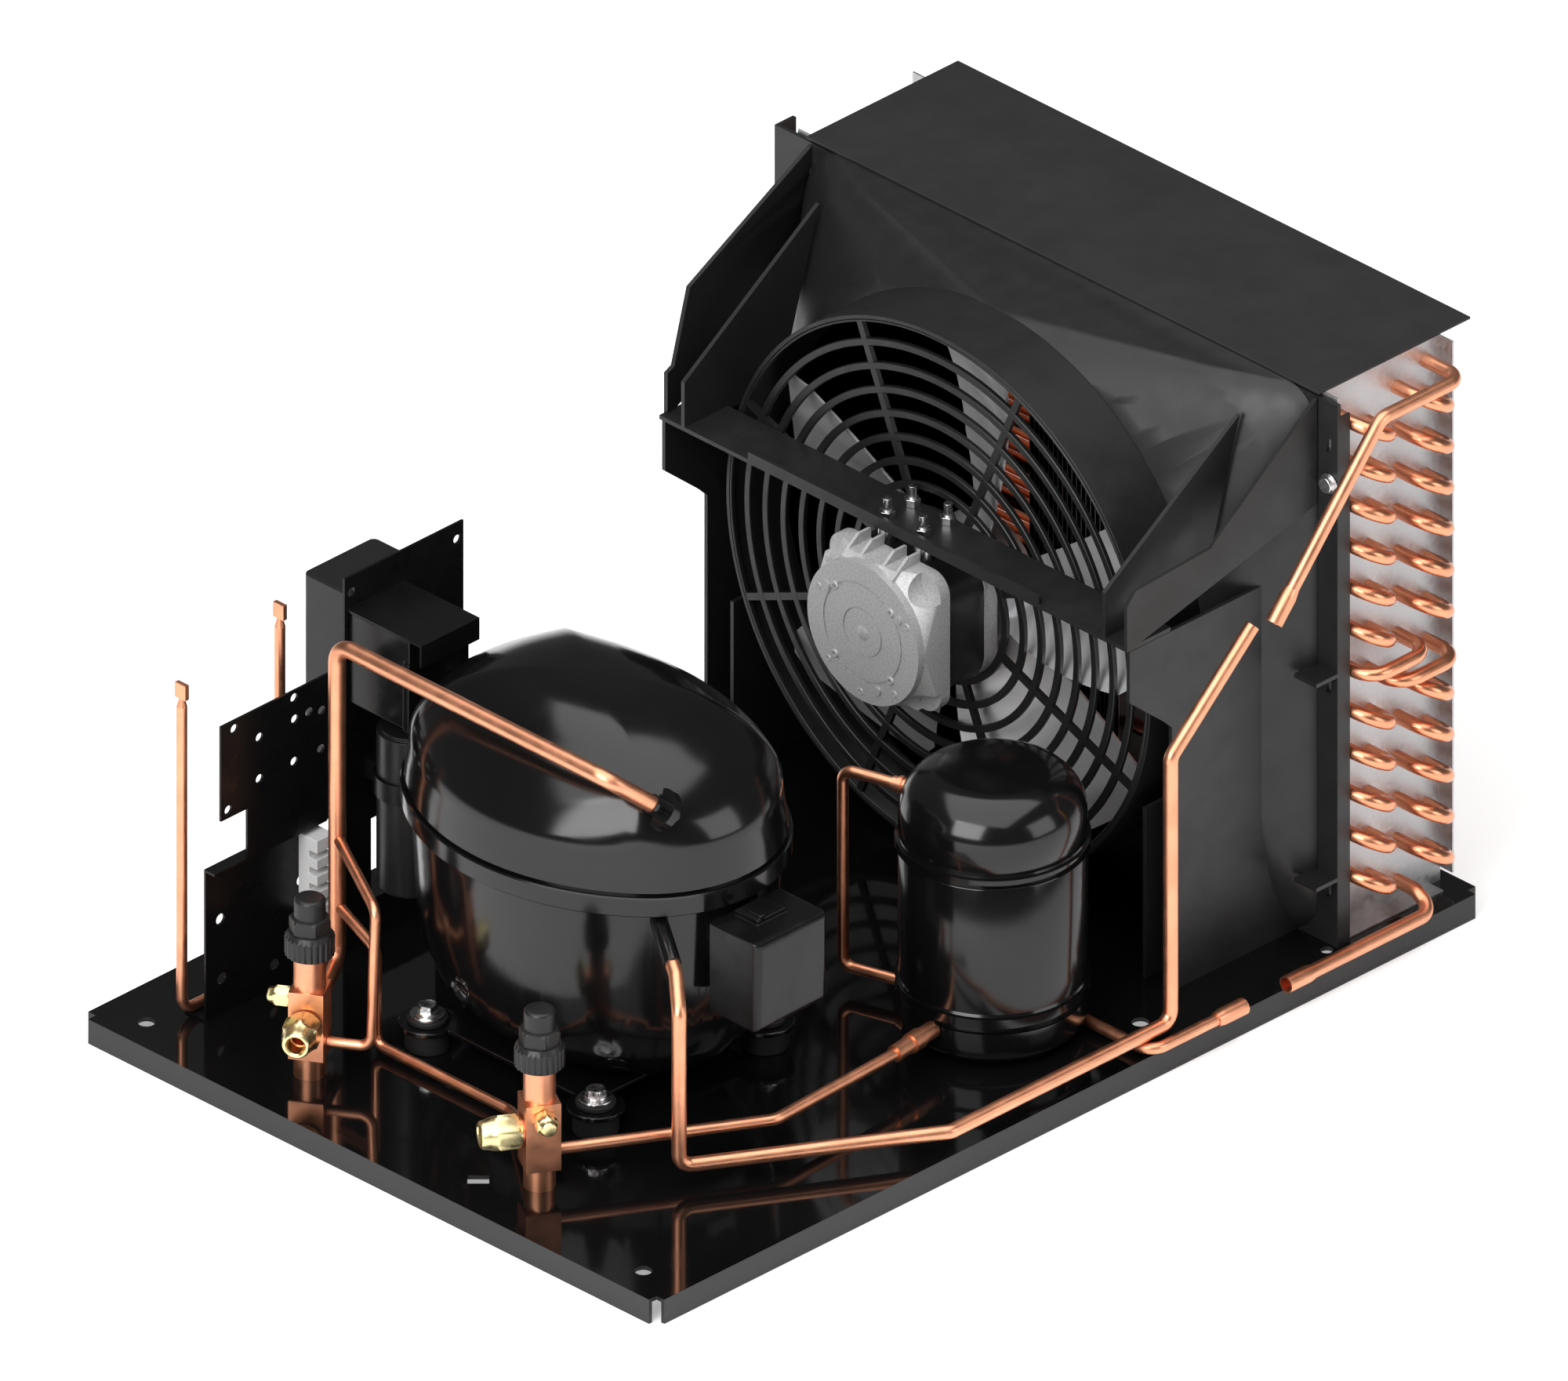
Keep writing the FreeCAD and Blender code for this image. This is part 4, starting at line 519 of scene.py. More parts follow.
class Form:
    """Draws closed shapes into one mesh, in millimetres off the base's own corner."""

    sliver = 1e-7
    near_upright = 0.99

    def __init__(self, name: str) -> None:
        """Start an empty mesh for the piece of a name."""
        self.name = name
        self.work = bmesh.new()

    def skin(self, rings: Sequence[Sequence[Vector]], closed: bool = False) -> None:
        """Join rings of equally many points with faces; the last joins the first where closed."""
        rows = [[self.work.verts.new(at(*point)) for point in ring] for ring in rings]
        pairs = list(zip(rows, rows[1:]))
        if closed:
            pairs.append((rows[-1], rows[0]))
        for low, high in pairs:
            for index in range(len(low)):
                after = (index + 1) % len(low)
                self.work.faces.new((low[index], low[after], high[after], high[index]))

    def turned(self, start: Point, toward: Point, levels: Sequence[tuple[float, Radius]],
               angles: int | Sequence[float], closed: bool = False) -> None:
        """Draw a shape round an axis from its radius at each level.

        An angle of nothing faces up, or along x where the axis itself is upright.

        Args:
            start: Where the axis starts.
            toward: The axis's direction.
            levels: Pairs of a distance along the axis and a radius, or a function of the angle.
            angles: The angles of the points in each ring, or how many even ones.
            closed: Whether the last level joins the first, as round a bore.
        """
        axis = Vector(toward).normalized()
        across = Vector(UP if abs(axis.dot(Vector(UP))) < self.near_upright else (1.0, 0.0, 0.0))
        across = (across - axis * across.dot(axis)).normalized()
        beside = axis.cross(across)
        if isinstance(angles, int):
            angles = [2 * math.pi * step / angles for step in range(angles)]
        rings = []
        for distance, radius in levels:
            middle = Vector(start) + axis * distance
            ring = []
            for angle in angles:
                reach = radius(angle) if callable(radius) else radius
                ring.append(middle + (across * math.cos(angle) + beside * math.sin(angle)) * reach)
            rings.append(ring)
        self.skin(rings, closed)

    def finish(self, finish: Finish, body: str, replaced: Sequence[str] = (),
               angle: float = 32.0) -> None:
        """Close the mesh and hand it over, as hand_over says."""
        bmesh.ops.remove_doubles(self.work, verts=self.work.verts, dist=MERGE)
        bmesh.ops.dissolve_degenerate(self.work, dist=self.sliver, edges=self.work.edges)
        mesh = bpy.data.meshes.new(self.name)
        mesh.materials.append(finish.material())
        hand_over(self.work, mesh, body, replaced, angle)


@dataclass
class Compressor:
    """The hermetic compressor's lid: a lapped band, a groove and a dome with four soft ridges."""

    middle: tuple[float, float] = (172.5, 218.0)
    half_x: float = 87.0
    half_y: float = 112.0
    end_radius: float = 72.0
    skirt_z: float = 154.3
    lap: float = 5.0
    edge: float = 0.8
    groove_z: float = 166.0
    groove: float = 1.2
    shoulder_z: float = 192.0
    rise: float = 53.4
    draw_in: float = 75.0
    ridge: float = 0.5
    ridge_turn: float = 45.0
    steps: int = 22
    side_points: int = 14
    end_points: int = 8
    crown_z: float = 246.0
    crown_radius: float = 4.0

    @property
    def offset(self) -> float:
        """How far the centre of an end arc lies from the middle."""
        return self.half_y - self.end_radius

    @property
    def side(self) -> float:
        """How far the centre of a side arc lies past the middle."""
        reach = self.half_x - self.end_radius
        return (self.offset ** 2 - reach ** 2) / (2 * reach)

    def corner(self) -> tuple[float, float]:
        """Return the point where the outline's side arc meets its end arc."""
        slope = math.atan2(self.offset, self.side)
        radius = self.half_x + self.side
        return radius * math.cos(slope) - self.side, radius * math.sin(slope)

    def outline(self, grow: float) -> Callable[[float], float]:
        """Return the oval's radius by angle, grown outwards by a distance."""
        offset, side = self.offset, self.side
        corner_angle = math.atan2(*reversed(self.corner()))

        def radius(angle: float) -> float:
            along, beside = abs(math.cos(angle)), abs(math.sin(angle))
            if math.atan2(beside, along) <= corner_angle:
                large = self.half_x + side + grow
                return -side * along + math.sqrt((side * along) ** 2 + large ** 2 - side ** 2)
            small = self.end_radius + grow
            return offset * beside + math.sqrt((offset * beside) ** 2 + small ** 2 - offset ** 2)
        return radius

    def vault(self, turn: float) -> Callable[[float], float]:
        """Return the dome's radius by angle at one step of its rise, from 0 to a quarter turn."""
        scale = (self.half_x - self.draw_in * (1 - math.cos(turn))) / self.half_x
        share = self.ridge * min(1.0, turn / math.radians(self.ridge_turn))
        oval = self.outline(0.0)
        corner_x, corner_y = self.corner()

        def radius(angle: float) -> float:
            along, beside = abs(math.cos(angle)), abs(math.sin(angle))
            straight = min(corner_x / max(along, 1e-6), corner_y / max(beside, 1e-6))
            return scale * (oval(angle) * (1 - share) + straight * share)
        return radius

    def angles(self) -> list[float]:
        """Return the angles of a ring's points, with one on each ridge."""
        corner_angle = math.atan2(*reversed(self.corner()))
        first = [corner_angle * step / self.side_points for step in range(self.side_points)]
        first += [corner_angle + (math.pi / 2 - corner_angle) * step / self.end_points
                  for step in range(self.end_points)]
        mirrored = [math.pi - angle for angle in reversed(first[1:])]
        half = first + [math.pi / 2] + mirrored
        return half + [angle + math.pi for angle in half]

    def build(self) -> None:
        """Draw the lid, then the two pressed marks on the lower shell."""
        z, groove_z, lap, edge = self.skirt_z, self.groove_z, self.lap, self.edge
        grown = [(z, 0.6), (z, lap - edge), (z + edge, lap), (groove_z - edge, lap),
                 (groove_z, lap - edge), (groove_z, self.groove), (groove_z + 1.4, self.groove),
                 (groove_z + 2.0, 2.8), (180.0, 1.6), (188.0, 0.3)]
        levels: Levels = [(height, self.outline(grow)) for height, grow in grown]
        for step in range(self.steps + 1):
            turn = math.radians(90) * step / self.steps
            levels.append((self.shoulder_z + self.rise * math.sin(turn), self.vault(turn)))
        levels += [(self.crown_z - 0.1, self.crown_radius), (self.crown_z, 0.0)]
        form = Form("compressor_lid")
        form.turned((*self.middle, 0.0), UP, levels, self.angles())
        form.finish(GLOSS_BLACK, ROOT, ["compressor_shell_upper"], angle=40.0)
        marks = Form("pressed_marks")
        rim = [(-1.2, 0.0), (-0.1, 0.0), (-0.1, 4.4), (0.35, 5.2), (0.35, 5.9), (-0.4, 6.4),
               (-1.2, 6.4), (-1.2, 0.0)]
        for place, facing in (((94.6, 241.3, 73.2), (-0.92, 0.17, -0.36)),
                              ((123.5, 153.9, 50.1), (-0.65, -0.47, -0.59))):
            marks.turned(place, facing, rim, 40)
        marks.finish(GLOSS_BLACK, ROOT)


@dataclass
class Receiver:
    """The liquid receiver: a drum with a rounded heel and shoulder, a weld band and a lower band.

    Each band or groove is given by its lower and upper edge and how far it stands out.
    """

    middle: tuple[float, float] = (338.0, 83.5)
    radius: float = 51.0
    foot_z: float = 15.2
    foot_radius: float = 40.5
    bottom: float = 16.0
    bottom_radius: float = 41.0
    top: float = 175.0
    heel: float = 12.0
    shoulder: float = 26.0
    dome: float = 1.2
    blend: float = 0.5
    bands: tuple[tuple[float, float, float], ...] = (
        (38.6, 40.2, -0.7), (40.6, 48.0, 1.7), (48.4, 50.0, -0.7),
        (127.4, 128.6, -0.4), (129.0, 134.0, 1.8), (134.4, 135.6, -0.4))

    def build(self) -> None:
        """Draw the drum from its foot ring to its domed top."""
        levels: Levels = [
            (self.foot_z, 0.0), (self.foot_z, self.foot_radius), (self.bottom, self.bottom_radius)]
        for turn in quarter(6)[1:]:
            levels.append((self.bottom + self.heel * (1 - math.cos(turn)),
                           self.radius - self.heel * (1 - math.sin(turn))))
        for low, high, grow in self.bands:
            levels += [(low - self.blend, self.radius), (low, self.radius + grow),
                       (high, self.radius + grow), (high + self.blend, self.radius)]
        levels.sort(key=lambda level: level[0])
        flat = self.radius - self.shoulder
        low = self.top - self.dome - self.shoulder
        for turn in quarter(10)[1:]:
            levels.append(
                (low + self.shoulder * math.sin(turn), flat + self.shoulder * math.cos(turn)))
        levels += [(self.top - self.dome * 0.3, flat * 0.5), (self.top, 0.0)]
        form = Form("receiver_drum")
        form.turned((*self.middle, 0.0), UP, levels, 96)
        form.finish(GLOSS_BLACK, ROOT, ["receiver"], angle=50.0)


@dataclass
class Fan:
    """The fan: a cup-shaped hub with five cambered blades that widen to rounded tips."""

    middle_x: float = 458.0
    hub_x: float = 446.0
    root: float = 34.0
    tip: float = 149.0
    tip_round: float = 16.0
    tip_power: int = 8
    blades: int = 5
    root_span: tuple[float, float] = (4.0, 52.0)
    tip_span: tuple[float, float] = (0.0, 39.0)
    span_from: float = 40.0
    span_reach: float = 100.0
    root_pitch: float = 36.0
    tip_pitch: float = 22.0
    thickness: float = 1.5
    camber: float = 0.07
    steps: int = 14

    def surface(self, out: float, across: float, turn: float, side: float) -> Triple:
        """Return a point on one side of a blade.

        Args:
            out: The share of the way from root to tip.
            across: The share of the way from one edge to the other.
            turn: The blade's own angle on the hub, in degrees.
            side: 1 or -1 for the two faces.

        Returns:
            The point in millimetres.
        """
        corner = self.tip_round * abs(2 * across - 1) ** self.tip_power
        radius = self.root + (self.tip - corner - self.root) * out
        share = (radius - self.span_from) / self.span_reach
        first, last = (
            between(low, high, share) for low, high in zip(self.root_span, self.tip_span))
        pitch = between(self.root_pitch, self.tip_pitch, min(1.0, max(0.0, share)))
        arc = math.radians(last - first) * radius
        offset = (0.5 - across) * arc * math.tan(math.radians(pitch))
        bow = self.camber * arc * (1 - (2 * across - 1) ** 2)
        angle = math.radians(turn + first + (last - first) * across)
        x = self.middle_x + offset + bow - self.camber * arc * 0.5 + side * self.thickness / 2
        return x, FAN_Y + radius * math.cos(angle), FAN_Z + radius * math.sin(angle)

    def build(self) -> None:
        """Draw the hub and the blades as one piece on the rotor."""
        form = Form("fan_wheel")
        shares = [step / self.steps for step in range(self.steps + 1)]
        for number in range(self.blades):
            turn = 360 / self.blades * number
            rows = []
            for out in shares:
                front = [self.surface(out, across, turn, -1) for across in shares]
                back = [self.surface(out, across, turn, 1) for across in reversed(shares)]
                rows.append([Vector(point) for point in front + back])
            ends = []
            for row in (rows[0], rows[-1]):
                pairs = [(row[index] + row[-1 - index]) / 2 for index in range(len(row) // 2)]
                ends.append(pairs + pairs[::-1])
            form.skin([ends[0]] + rows + [ends[1]])
        hub = [(0.0, 4.05), (0.0, 33.0), (1.2, 35.2), (3.2, 36.0), (24.0, 36.0), (24.0, 34.0),
               (3.0, 34.0), (3.0, 9.0), (24.0, 9.0), (24.0, 4.05)]
        form.turned((self.hub_x, FAN_Y, FAN_Z), AIRFLOW, hub, 72, closed=True)
        form.finish(FAN_METAL, "fan_rotor", ["fan"], angle=50.0)


@dataclass
class ServiceValve:
    """The cap, flare nut and port plug of one service valve."""

    name: str
    place: tuple[float, float]
    nut_turn: float
    plug_turn: float
    cap_z: float = 89.1
    cap_top: float = 124.0
    cap_flats: float = 20.0
    crown: float = 8.6
    fillet: float = 2.2
    half_body: float = 9.65
    nut_z: float = 50.0
    nut_gap: float = 1.5
    nut_flats: float = 19.0
    plug_z: float = 61.0
    plug_gap: float = 0.3
    plug_flats: float = 11.0
    angle: float = 28.0

    def build(self) -> None:
        """Draw the three pieces, each on its own body."""
        self.add_cap()
        self.add_nut()
        self.add_plug()

    def add_cap(self) -> None:
        """Draw the cap: ribbed skirt, cone, hexagon and rounded crown, hollow below."""
        z, top = self.cap_z, self.cap_top
        ribs = ribbed(13.6, 0.7, 24)
        flat = partial(hexagon, self.cap_flats)
        levels: Levels = [
            (top - 5, 0.0), (top - 5, 5.0), (z + 10, 5.0), (z + 10, 8.3), (z, 8.3), (z, 12.4),
            (z + 0.8, ribs), (z + 11.5, ribs), (z + 12.2, 12.9), (z + 14.4, 11.5),
            (z + 14.6, flat(10.6)), (z + 15.4, flat(11.55)), (z + 21.8, flat(11.55)),
            (z + 22.9, flat(10.2)), (z + 23.2, 9.4), (z + 23.4, self.crown)]
        levels += [(top - self.fillet * (1 - math.sin(turn)),
                    self.crown - self.fillet * (1 - math.cos(turn))) for turn in quarter(6)]
        levels.append((top, 0.0))
        form = Form(self.name + "_cap_moulding")
        form.turned((*self.place, 0.0), UP, levels, 144)
        form.finish(CAP_PLASTIC, self.name + "_cap", [self.name + "_valve_cap"], self.angle)

    def add_nut(self) -> None:
        """Draw the flare nut: a thin collar, a chamfered hexagon and a cone to its open mouth."""
        flat = partial(hexagon, self.nut_flats)
        full = flat(self.nut_flats / math.sqrt(3))
        levels: Levels = [
            (0.0, 7.3), (0.0, 9.3), (1.0, 9.5), (1.2, flat(9.9)), (2.2, full), (12.2, full),
            (13.8, flat(9.6)), (14.2, 9.4), (18.0, 8.3), (20.6, 7.9), (21.6, 7.4), (22.0, 6.8),
            (22.0, 5.7), (21.2, 5.0), (12.0, 5.0), (12.0, 7.3)]
        self.add_turning(
            "nut", "flare_nut", (self.nut_turn, self.half_body + self.nut_gap, self.nut_z), levels,
            96, closed=True)

    def add_plug(self) -> None:
        """Draw the port plug: a chamfered hexagon with a round closed end."""
        flat = partial(hexagon, self.plug_flats)
        full = flat(self.plug_flats / math.sqrt(3))
        levels: Levels = [
            (8.2, 0.0), (8.2, 4.3), (0.0, 4.3), (0.0, 5.3), (0.5, flat(5.7)), (1.2, full),
            (7.8, full), (8.8, flat(5.5)), (9.0, 5.3), (10.0, 4.6), (12.2, 4.2), (12.8, 3.7),
            (13.0, 2.9), (13.0, 0.0)]
        self.add_turning(
            "plug", "port_plug", (self.plug_turn, self.half_body + self.plug_gap, self.plug_z),
            levels, 72)

    def add_turning(self, kind: str, node: str, seat: Triple, levels: Levels, points: int,
                    closed: bool = False) -> None:
        """Draw a brass piece that points away from the valve.

        Args:
            kind: The last word of the name of its body.
            node: The CAD node that it stands for, without the valve's name.
            seat: Its direction in degrees, its distance from the valve's axis and its height.
            levels: Its levels, as Form.turned takes them.
            points: How many points go round it.
            closed: Whether it has a bore right through.
        """
        turn, distance, z = seat
        facing = (math.cos(math.radians(turn)), math.sin(math.radians(turn)), 0.0)
        start = (self.place[0] + facing[0] * distance, self.place[1] + facing[1] * distance, z)
        form = Form(f"{self.name}_{kind}_turning")
        form.turned(start, facing, levels, points, closed)
        form.finish(BRASS, f"{self.name}_{kind}", [f"{self.name}_{node}"], self.angle)


@dataclass
class FootBolts:
    """The four bolts that hold the compressor down, each with its washer and nut."""

    along: tuple[float, float] = (108.4, 236.6)
    across: tuple[float, float] = (154.4, 281.6)
    seat: float = 34.0
    washer: float = 1.6
    shank: float = 4.0

    def build(self) -> None:
        """Draw the bolts as one piece."""
        form = Form("foot_bolt_set")
        z, top, shank = self.seat, self.seat + self.washer, self.shank
        head, nut = partial(hexagon, 10.0), partial(hexagon, 13.0)
        parts = (
            ([(z, shank), (z, 9.3), (z + 0.3, 9.5), (z + 1.3, 9.5), (top, 9.3), (top, shank)],
             48, True),
            ([(top, 0.0), (top, 6.0), (z + 1.9, 6.3), (z + 2.4, 6.3), (z + 3.0, 5.9),
              (z + 3.0, head(5.75)), (z + 6.1, head(5.75)), (z + 6.8, head(5.0)), (z + 7.0, 4.4),
              (z + 6.6, 3.2), (z + 6.6, 0.0)], 48, False),
            ([(3.0, 0.0), (3.0, 3.6), (3.5, shank), (top, shank), (top, 0.0)], 32, False),
            ([(6.1, shank), (6.1, nut(6.6)), (6.8, nut(7.5)), (11.9, nut(7.5)), (12.6, nut(6.6)),
              (12.6, shank)], 48, True))
        for x in self.along:
            for y in self.across:
                for levels, points, closed in parts:
                    form.turned((x, y, 0.0), UP, levels, points, closed)
        form.finish(ZINC, ROOT, ["foot_bolts"], angle=30.0)


@dataclass
class MotorFace:
    """The small raised details on the motor's cast face: four bored bosses and shallow dimples."""

    face_x: float = 374.0
    boss_offset: float = 21.0
    dimple_radius: float = 37.0
    dimple_angles: tuple[float, ...] = (25.0, 153.0, -45.0, -87.0, -130.0)

    def build(self) -> None:
        """Draw the bosses, the dimples and the hub as one cast piece on the face."""
        form = Form("motor_face_details")
        boss = [(-0.9, 1.1), (-0.9, 2.1), (-0.5, 2.5), (0.5, 2.7), (0.5, 1.1)]
        for y in (-self.boss_offset, self.boss_offset):
            for z in (-self.boss_offset, self.boss_offset):
                form.turned((self.face_x, FAN_Y + y, FAN_Z + z), AIRFLOW, boss, 28,
                            closed=True)
        dimple = [(-0.35, 1.3), (-0.35, 1.9), (0.0, 2.3), (0.5, 2.3), (0.5, 1.3)]
        for turn in map(math.radians, self.dimple_angles):
            y = FAN_Y + self.dimple_radius * math.cos(turn)
            z = FAN_Z + self.dimple_radius * math.sin(turn)
            form.turned((self.face_x, y, z), AIRFLOW, dimple, 24, closed=True)
        hub = [(-0.4, 0.0), (-0.4, 3.6), (0.0, 4.4), (0.4, 4.4), (0.4, 0.0)]
        form.turned((self.face_x, FAN_Y, FAN_Z), AIRFLOW, hub, 36)
        form.finish(CAST_ALUMINIUM, ROOT)


class Grower(Nodes):
    """Builds one Geometry Nodes tree with named inputs and turns its result into a plain mesh."""

    def __init__(self, name: str) -> None:
        """Make an empty tree with its input and output, under the name of its piece."""
        super().__init__(bpy.data.node_groups.new(name, "GeometryNodeTree"))
        self.name = name
        self.tree.interface.new_socket(
            "Geometry", in_out="OUTPUT", socket_type="NodeSocketGeometry")
        self.start = self.node("NodeGroupInput")
        self.values: dict[str, object] = {}

    def given(self, label: str, value: float | int) -> Socket:
        """Add a named input, for a whole number or for a length, and return it."""
        kind = "NodeSocketInt" if isinstance(value, int) else "NodeSocketFloat"
        item = self.tree.interface.new_socket(label, in_out="INPUT", socket_type=kind)
        self.values[item.identifier] = value
        return self.start.outputs[label]

    def vector(self, x: object, y: object, z: object) -> Socket:
        """Return a vector made of three values."""
        return self.add("ShaderNodeCombineXYZ", {0: x, 1: y, 2: z})

    def joined(self, pieces: Iterable[Socket]) -> Socket:
        """Return several geometries as one."""
        node = self.node("GeometryNodeJoinGeometry")
        for piece in pieces:
            self.feed(node.inputs[0], piece)
        return node.outputs[0]

    def row(self, count: Socket, first: Point, step: object, instance: Socket,
            **more: Socket) -> Socket:
        """Return copies of a shape on a line of points, each with a Rotation or Scale if given."""
        line = self.add(
            "GeometryNodeMeshLine", {"Count": count, "Start Location": first, "Offset": step})
        return self.add(
            "GeometryNodeInstanceOnPoints", {"Points": line, "Instance": instance, **more})

    def moved(self, geometry: Socket, by: Point, turn: Point = (0.0, 0.0, 0.0)) -> Socket:
        """Return a geometry turned and then moved."""
        return self.add(
            "GeometryNodeTransform", {"Geometry": geometry, "Translation": by, "Rotation": turn})

    def finish(self, geometry: Socket, finish: Finish, replaced: Sequence[str] = (),
               angle: float = 30.0) -> None:
        """Realize the tree, set its finish and hand its plain mesh over, as hand_over says."""
        real = self.add("GeometryNodeRealizeInstances", {0: geometry})
        dressed = self.add(
            "GeometryNodeSetMaterial", {"Geometry": real, "Material": finish.material()})
        self.node("NodeGroupOutput", {"Geometry": dressed})
        carrier = added(self.name + "_carrier", bpy.data.meshes.new(self.name + "_seed"))
        grow = carrier.modifiers.new("grow", "NODES")
        grow.node_group = self.tree
        for identifier, value in self.values.items():
            grow[identifier] = value
        ready = carrier.evaluated_get(bpy.context.evaluated_depsgraph_get())
        mesh = bpy.data.meshes.new_from_object(ready)
        mesh.name = self.name
        carrier.modifiers.remove(grow)
        bpy.data.objects.remove(carrier)
        work = bmesh.new()
        work.from_mesh(mesh)
        bmesh.ops.remove_doubles(work, verts=work.verts, dist=MERGE)
        hand_over(work, mesh, ROOT, replaced, angle)


@dataclass
class FinStack:
    """The coil's thin fins and bare tube lengths, which the CAD holds as one closed block."""

    front_x: float = 530.5
    back_x: float = 615.5
    bottom_z: float = 15.5
    top_z: float = 351.5
    first_y: float = 181.0
    last_y: float = 249.8
    pitch: float = 3.54
    thick: float = 0.3
    tube_start_y: float = 25.3
    tube_overlap: float = 2.0
    tube_radius: float = 3.97
    tube_points: int = 20
    rows: int = 4
    levels: int = 13
    row_pitch: float = 22.0
    tube_pitch: float = 25.4
    first_tube_z: float = 28.3

    def build(self) -> None:
        """Grow the fins at their pitch, past the bare lengths of the tubes, and the tubes."""
        grower = Grower("coil_fins")
        depth = grower.given("Depth", (self.back_x - self.front_x) * MM)
        height = grower.given("Height", (self.top_z - self.bottom_z) * MM)
        thick = grower.given("Thickness", self.thick * MM)
        pitch = grower.given("Pitch", self.pitch * MM)
        count = grower.given("Count", int((self.last_y - self.first_y) / self.pitch) + 1)
        fin = grower.add("GeometryNodeMeshCube", {"Size": grower.vector(depth, thick, height)})
        first = at((self.front_x + self.back_x) / 2, self.first_y,
                   (self.bottom_z + self.top_z) / 2)
        fins = grower.row(count, tuple(first), grower.vector(0.0, pitch, 0.0), fin)
        grower.finish(fins, FIN_BLACK, ["fin_pack"])
        self.add_tubes()

    def add_tubes(self) -> None:
        """Grow the tubes' bare lengths from the service end plate into the fins."""
        grower = Grower("coil_tube_lengths")
        radius = grower.given("Radius", self.tube_radius * MM)
        pitch = grower.given("Pitch", self.tube_pitch * MM)
        levels = grower.given("Levels", self.levels)
        length = (self.first_y + self.tube_overlap - self.tube_start_y) * MM
        tube = grower.add("GeometryNodeMeshCylinder", {
            "Vertices": self.tube_points, "Radius": radius, "Depth": length})
        lying = grower.moved(tube, (0.0, length / 2, 0.0), (math.radians(90), 0.0, 0.0))
        columns = []
        for row in range(self.rows):
            x = (self.front_x + self.back_x) / 2 + (row - (self.rows - 1) / 2) * self.row_pitch
            z = self.first_tube_z + (row % 2) * self.tube_pitch / 2
            start = tuple(at(x, self.tube_start_y, z))
            columns.append(grower.row(levels, start, grower.vector(0.0, 0.0, pitch), lying))
        grower.finish(grower.joined(columns), COIL_COPPER)


@dataclass
class FanGuard:
    """The guard: flat rings of even pitch on eight spokes, set in the mouth of the duct."""

    front_x: float = 431.0
    thick: float = 3.0
    bar: float = 4.2
    pitch: float = 13.6
    rings: int = 9
    spokes: int = 8
    first_spoke: float = 22.5
    spoke_end: float = 0.8
    spoke_inset: float = 0.2
    outer: float = 157.9
    duct: float = 160.5
    corner: float = 0.4
    steps: int = 120

    def build(self) -> None:
        """Grow the rings and spokes as one moulded piece."""
        grower = Grower("guard_moulding")
        pitch = grower.given("Pitch", self.pitch * MM)
        bar = grower.given("Bar", self.bar * MM)
        thick = grower.given("Thickness", self.thick * MM)
        rings = grower.given("Rings", self.rings - 1)
        spokes = grower.given("Spokes", self.spokes)
        none = (0.0, 0.0, 0.0)
        index = grower.add("GeometryNodeInputIndex")
        largest = (self.duct - self.bar / 2 - self.pitch) * MM
        radius = grower.math("SUBTRACT", largest, grower.math("MULTIPLY", index, pitch))
        circles = grower.row(
            rings, none, none, self.circle(grower, 1.0), Scale=grower.vector(radius, radius, 1.0))
        flat = grower.add("GeometryNodeRealizeInstances", {0: circles})
        body = self.swept(grower, flat, bar, thick)
        rim_bar = (self.outer - (self.duct - self.bar)) * MM
        edge = self.swept(
            grower, self.circle(grower, self.outer * MM - rim_bar / 2), rim_bar, thick)
        inner = self.duct - self.bar / 2 - (self.rings - 1) * self.pitch
        reach = self.outer - self.spoke_end - inner
        depth = grower.math("SUBTRACT", thick, self.spoke_inset * MM)
        spoke = grower.add("GeometryNodeMeshCube", {"Size": grower.vector(reach * MM, bar, depth)})
        placed = grower.moved(spoke, ((inner + reach / 2) * MM, 0.0, 0.0))
        step = grower.math("DIVIDE", 2 * math.pi, spokes)
        turn = grower.math(
            "ADD", grower.math("MULTIPLY", index, step), math.radians(self.first_spoke))
        star = grower.row(spokes, none, none, placed, Rotation=grower.vector(0.0, 0.0, turn))
        middle = at(self.front_x + self.thick / 2, FAN_Y, FAN_Z)
        turned = grower.moved(
            grower.joined((body, edge, star)), tuple(middle), (0.0, math.radians(90), 0.0))
        grower.finish(turned, GUARD_PLASTIC, ["fan_guard"])

    def circle(self, grower: Grower, radius: float) -> Socket:
        """Return a circle of a radius in metres."""
        return grower.add(
            "GeometryNodeCurvePrimitiveCircle", {"Resolution": self.steps, "Radius": radius})

    def swept(self, grower: Grower, curve: Socket, width: object, height: object) -> Socket:
        """Return a bar with softly rounded corners, swept along a curve."""
        box = grower.add(
            "GeometryNodeCurvePrimitiveQuadrilateral", {"Width": width, "Height": height})
        section = grower.add("GeometryNodeFilletCurve", {"Curve": box, "Radius": self.corner * MM})
        return grower.add("GeometryNodeCurveToMesh", {"Curve": curve, "Profile Curve": section})


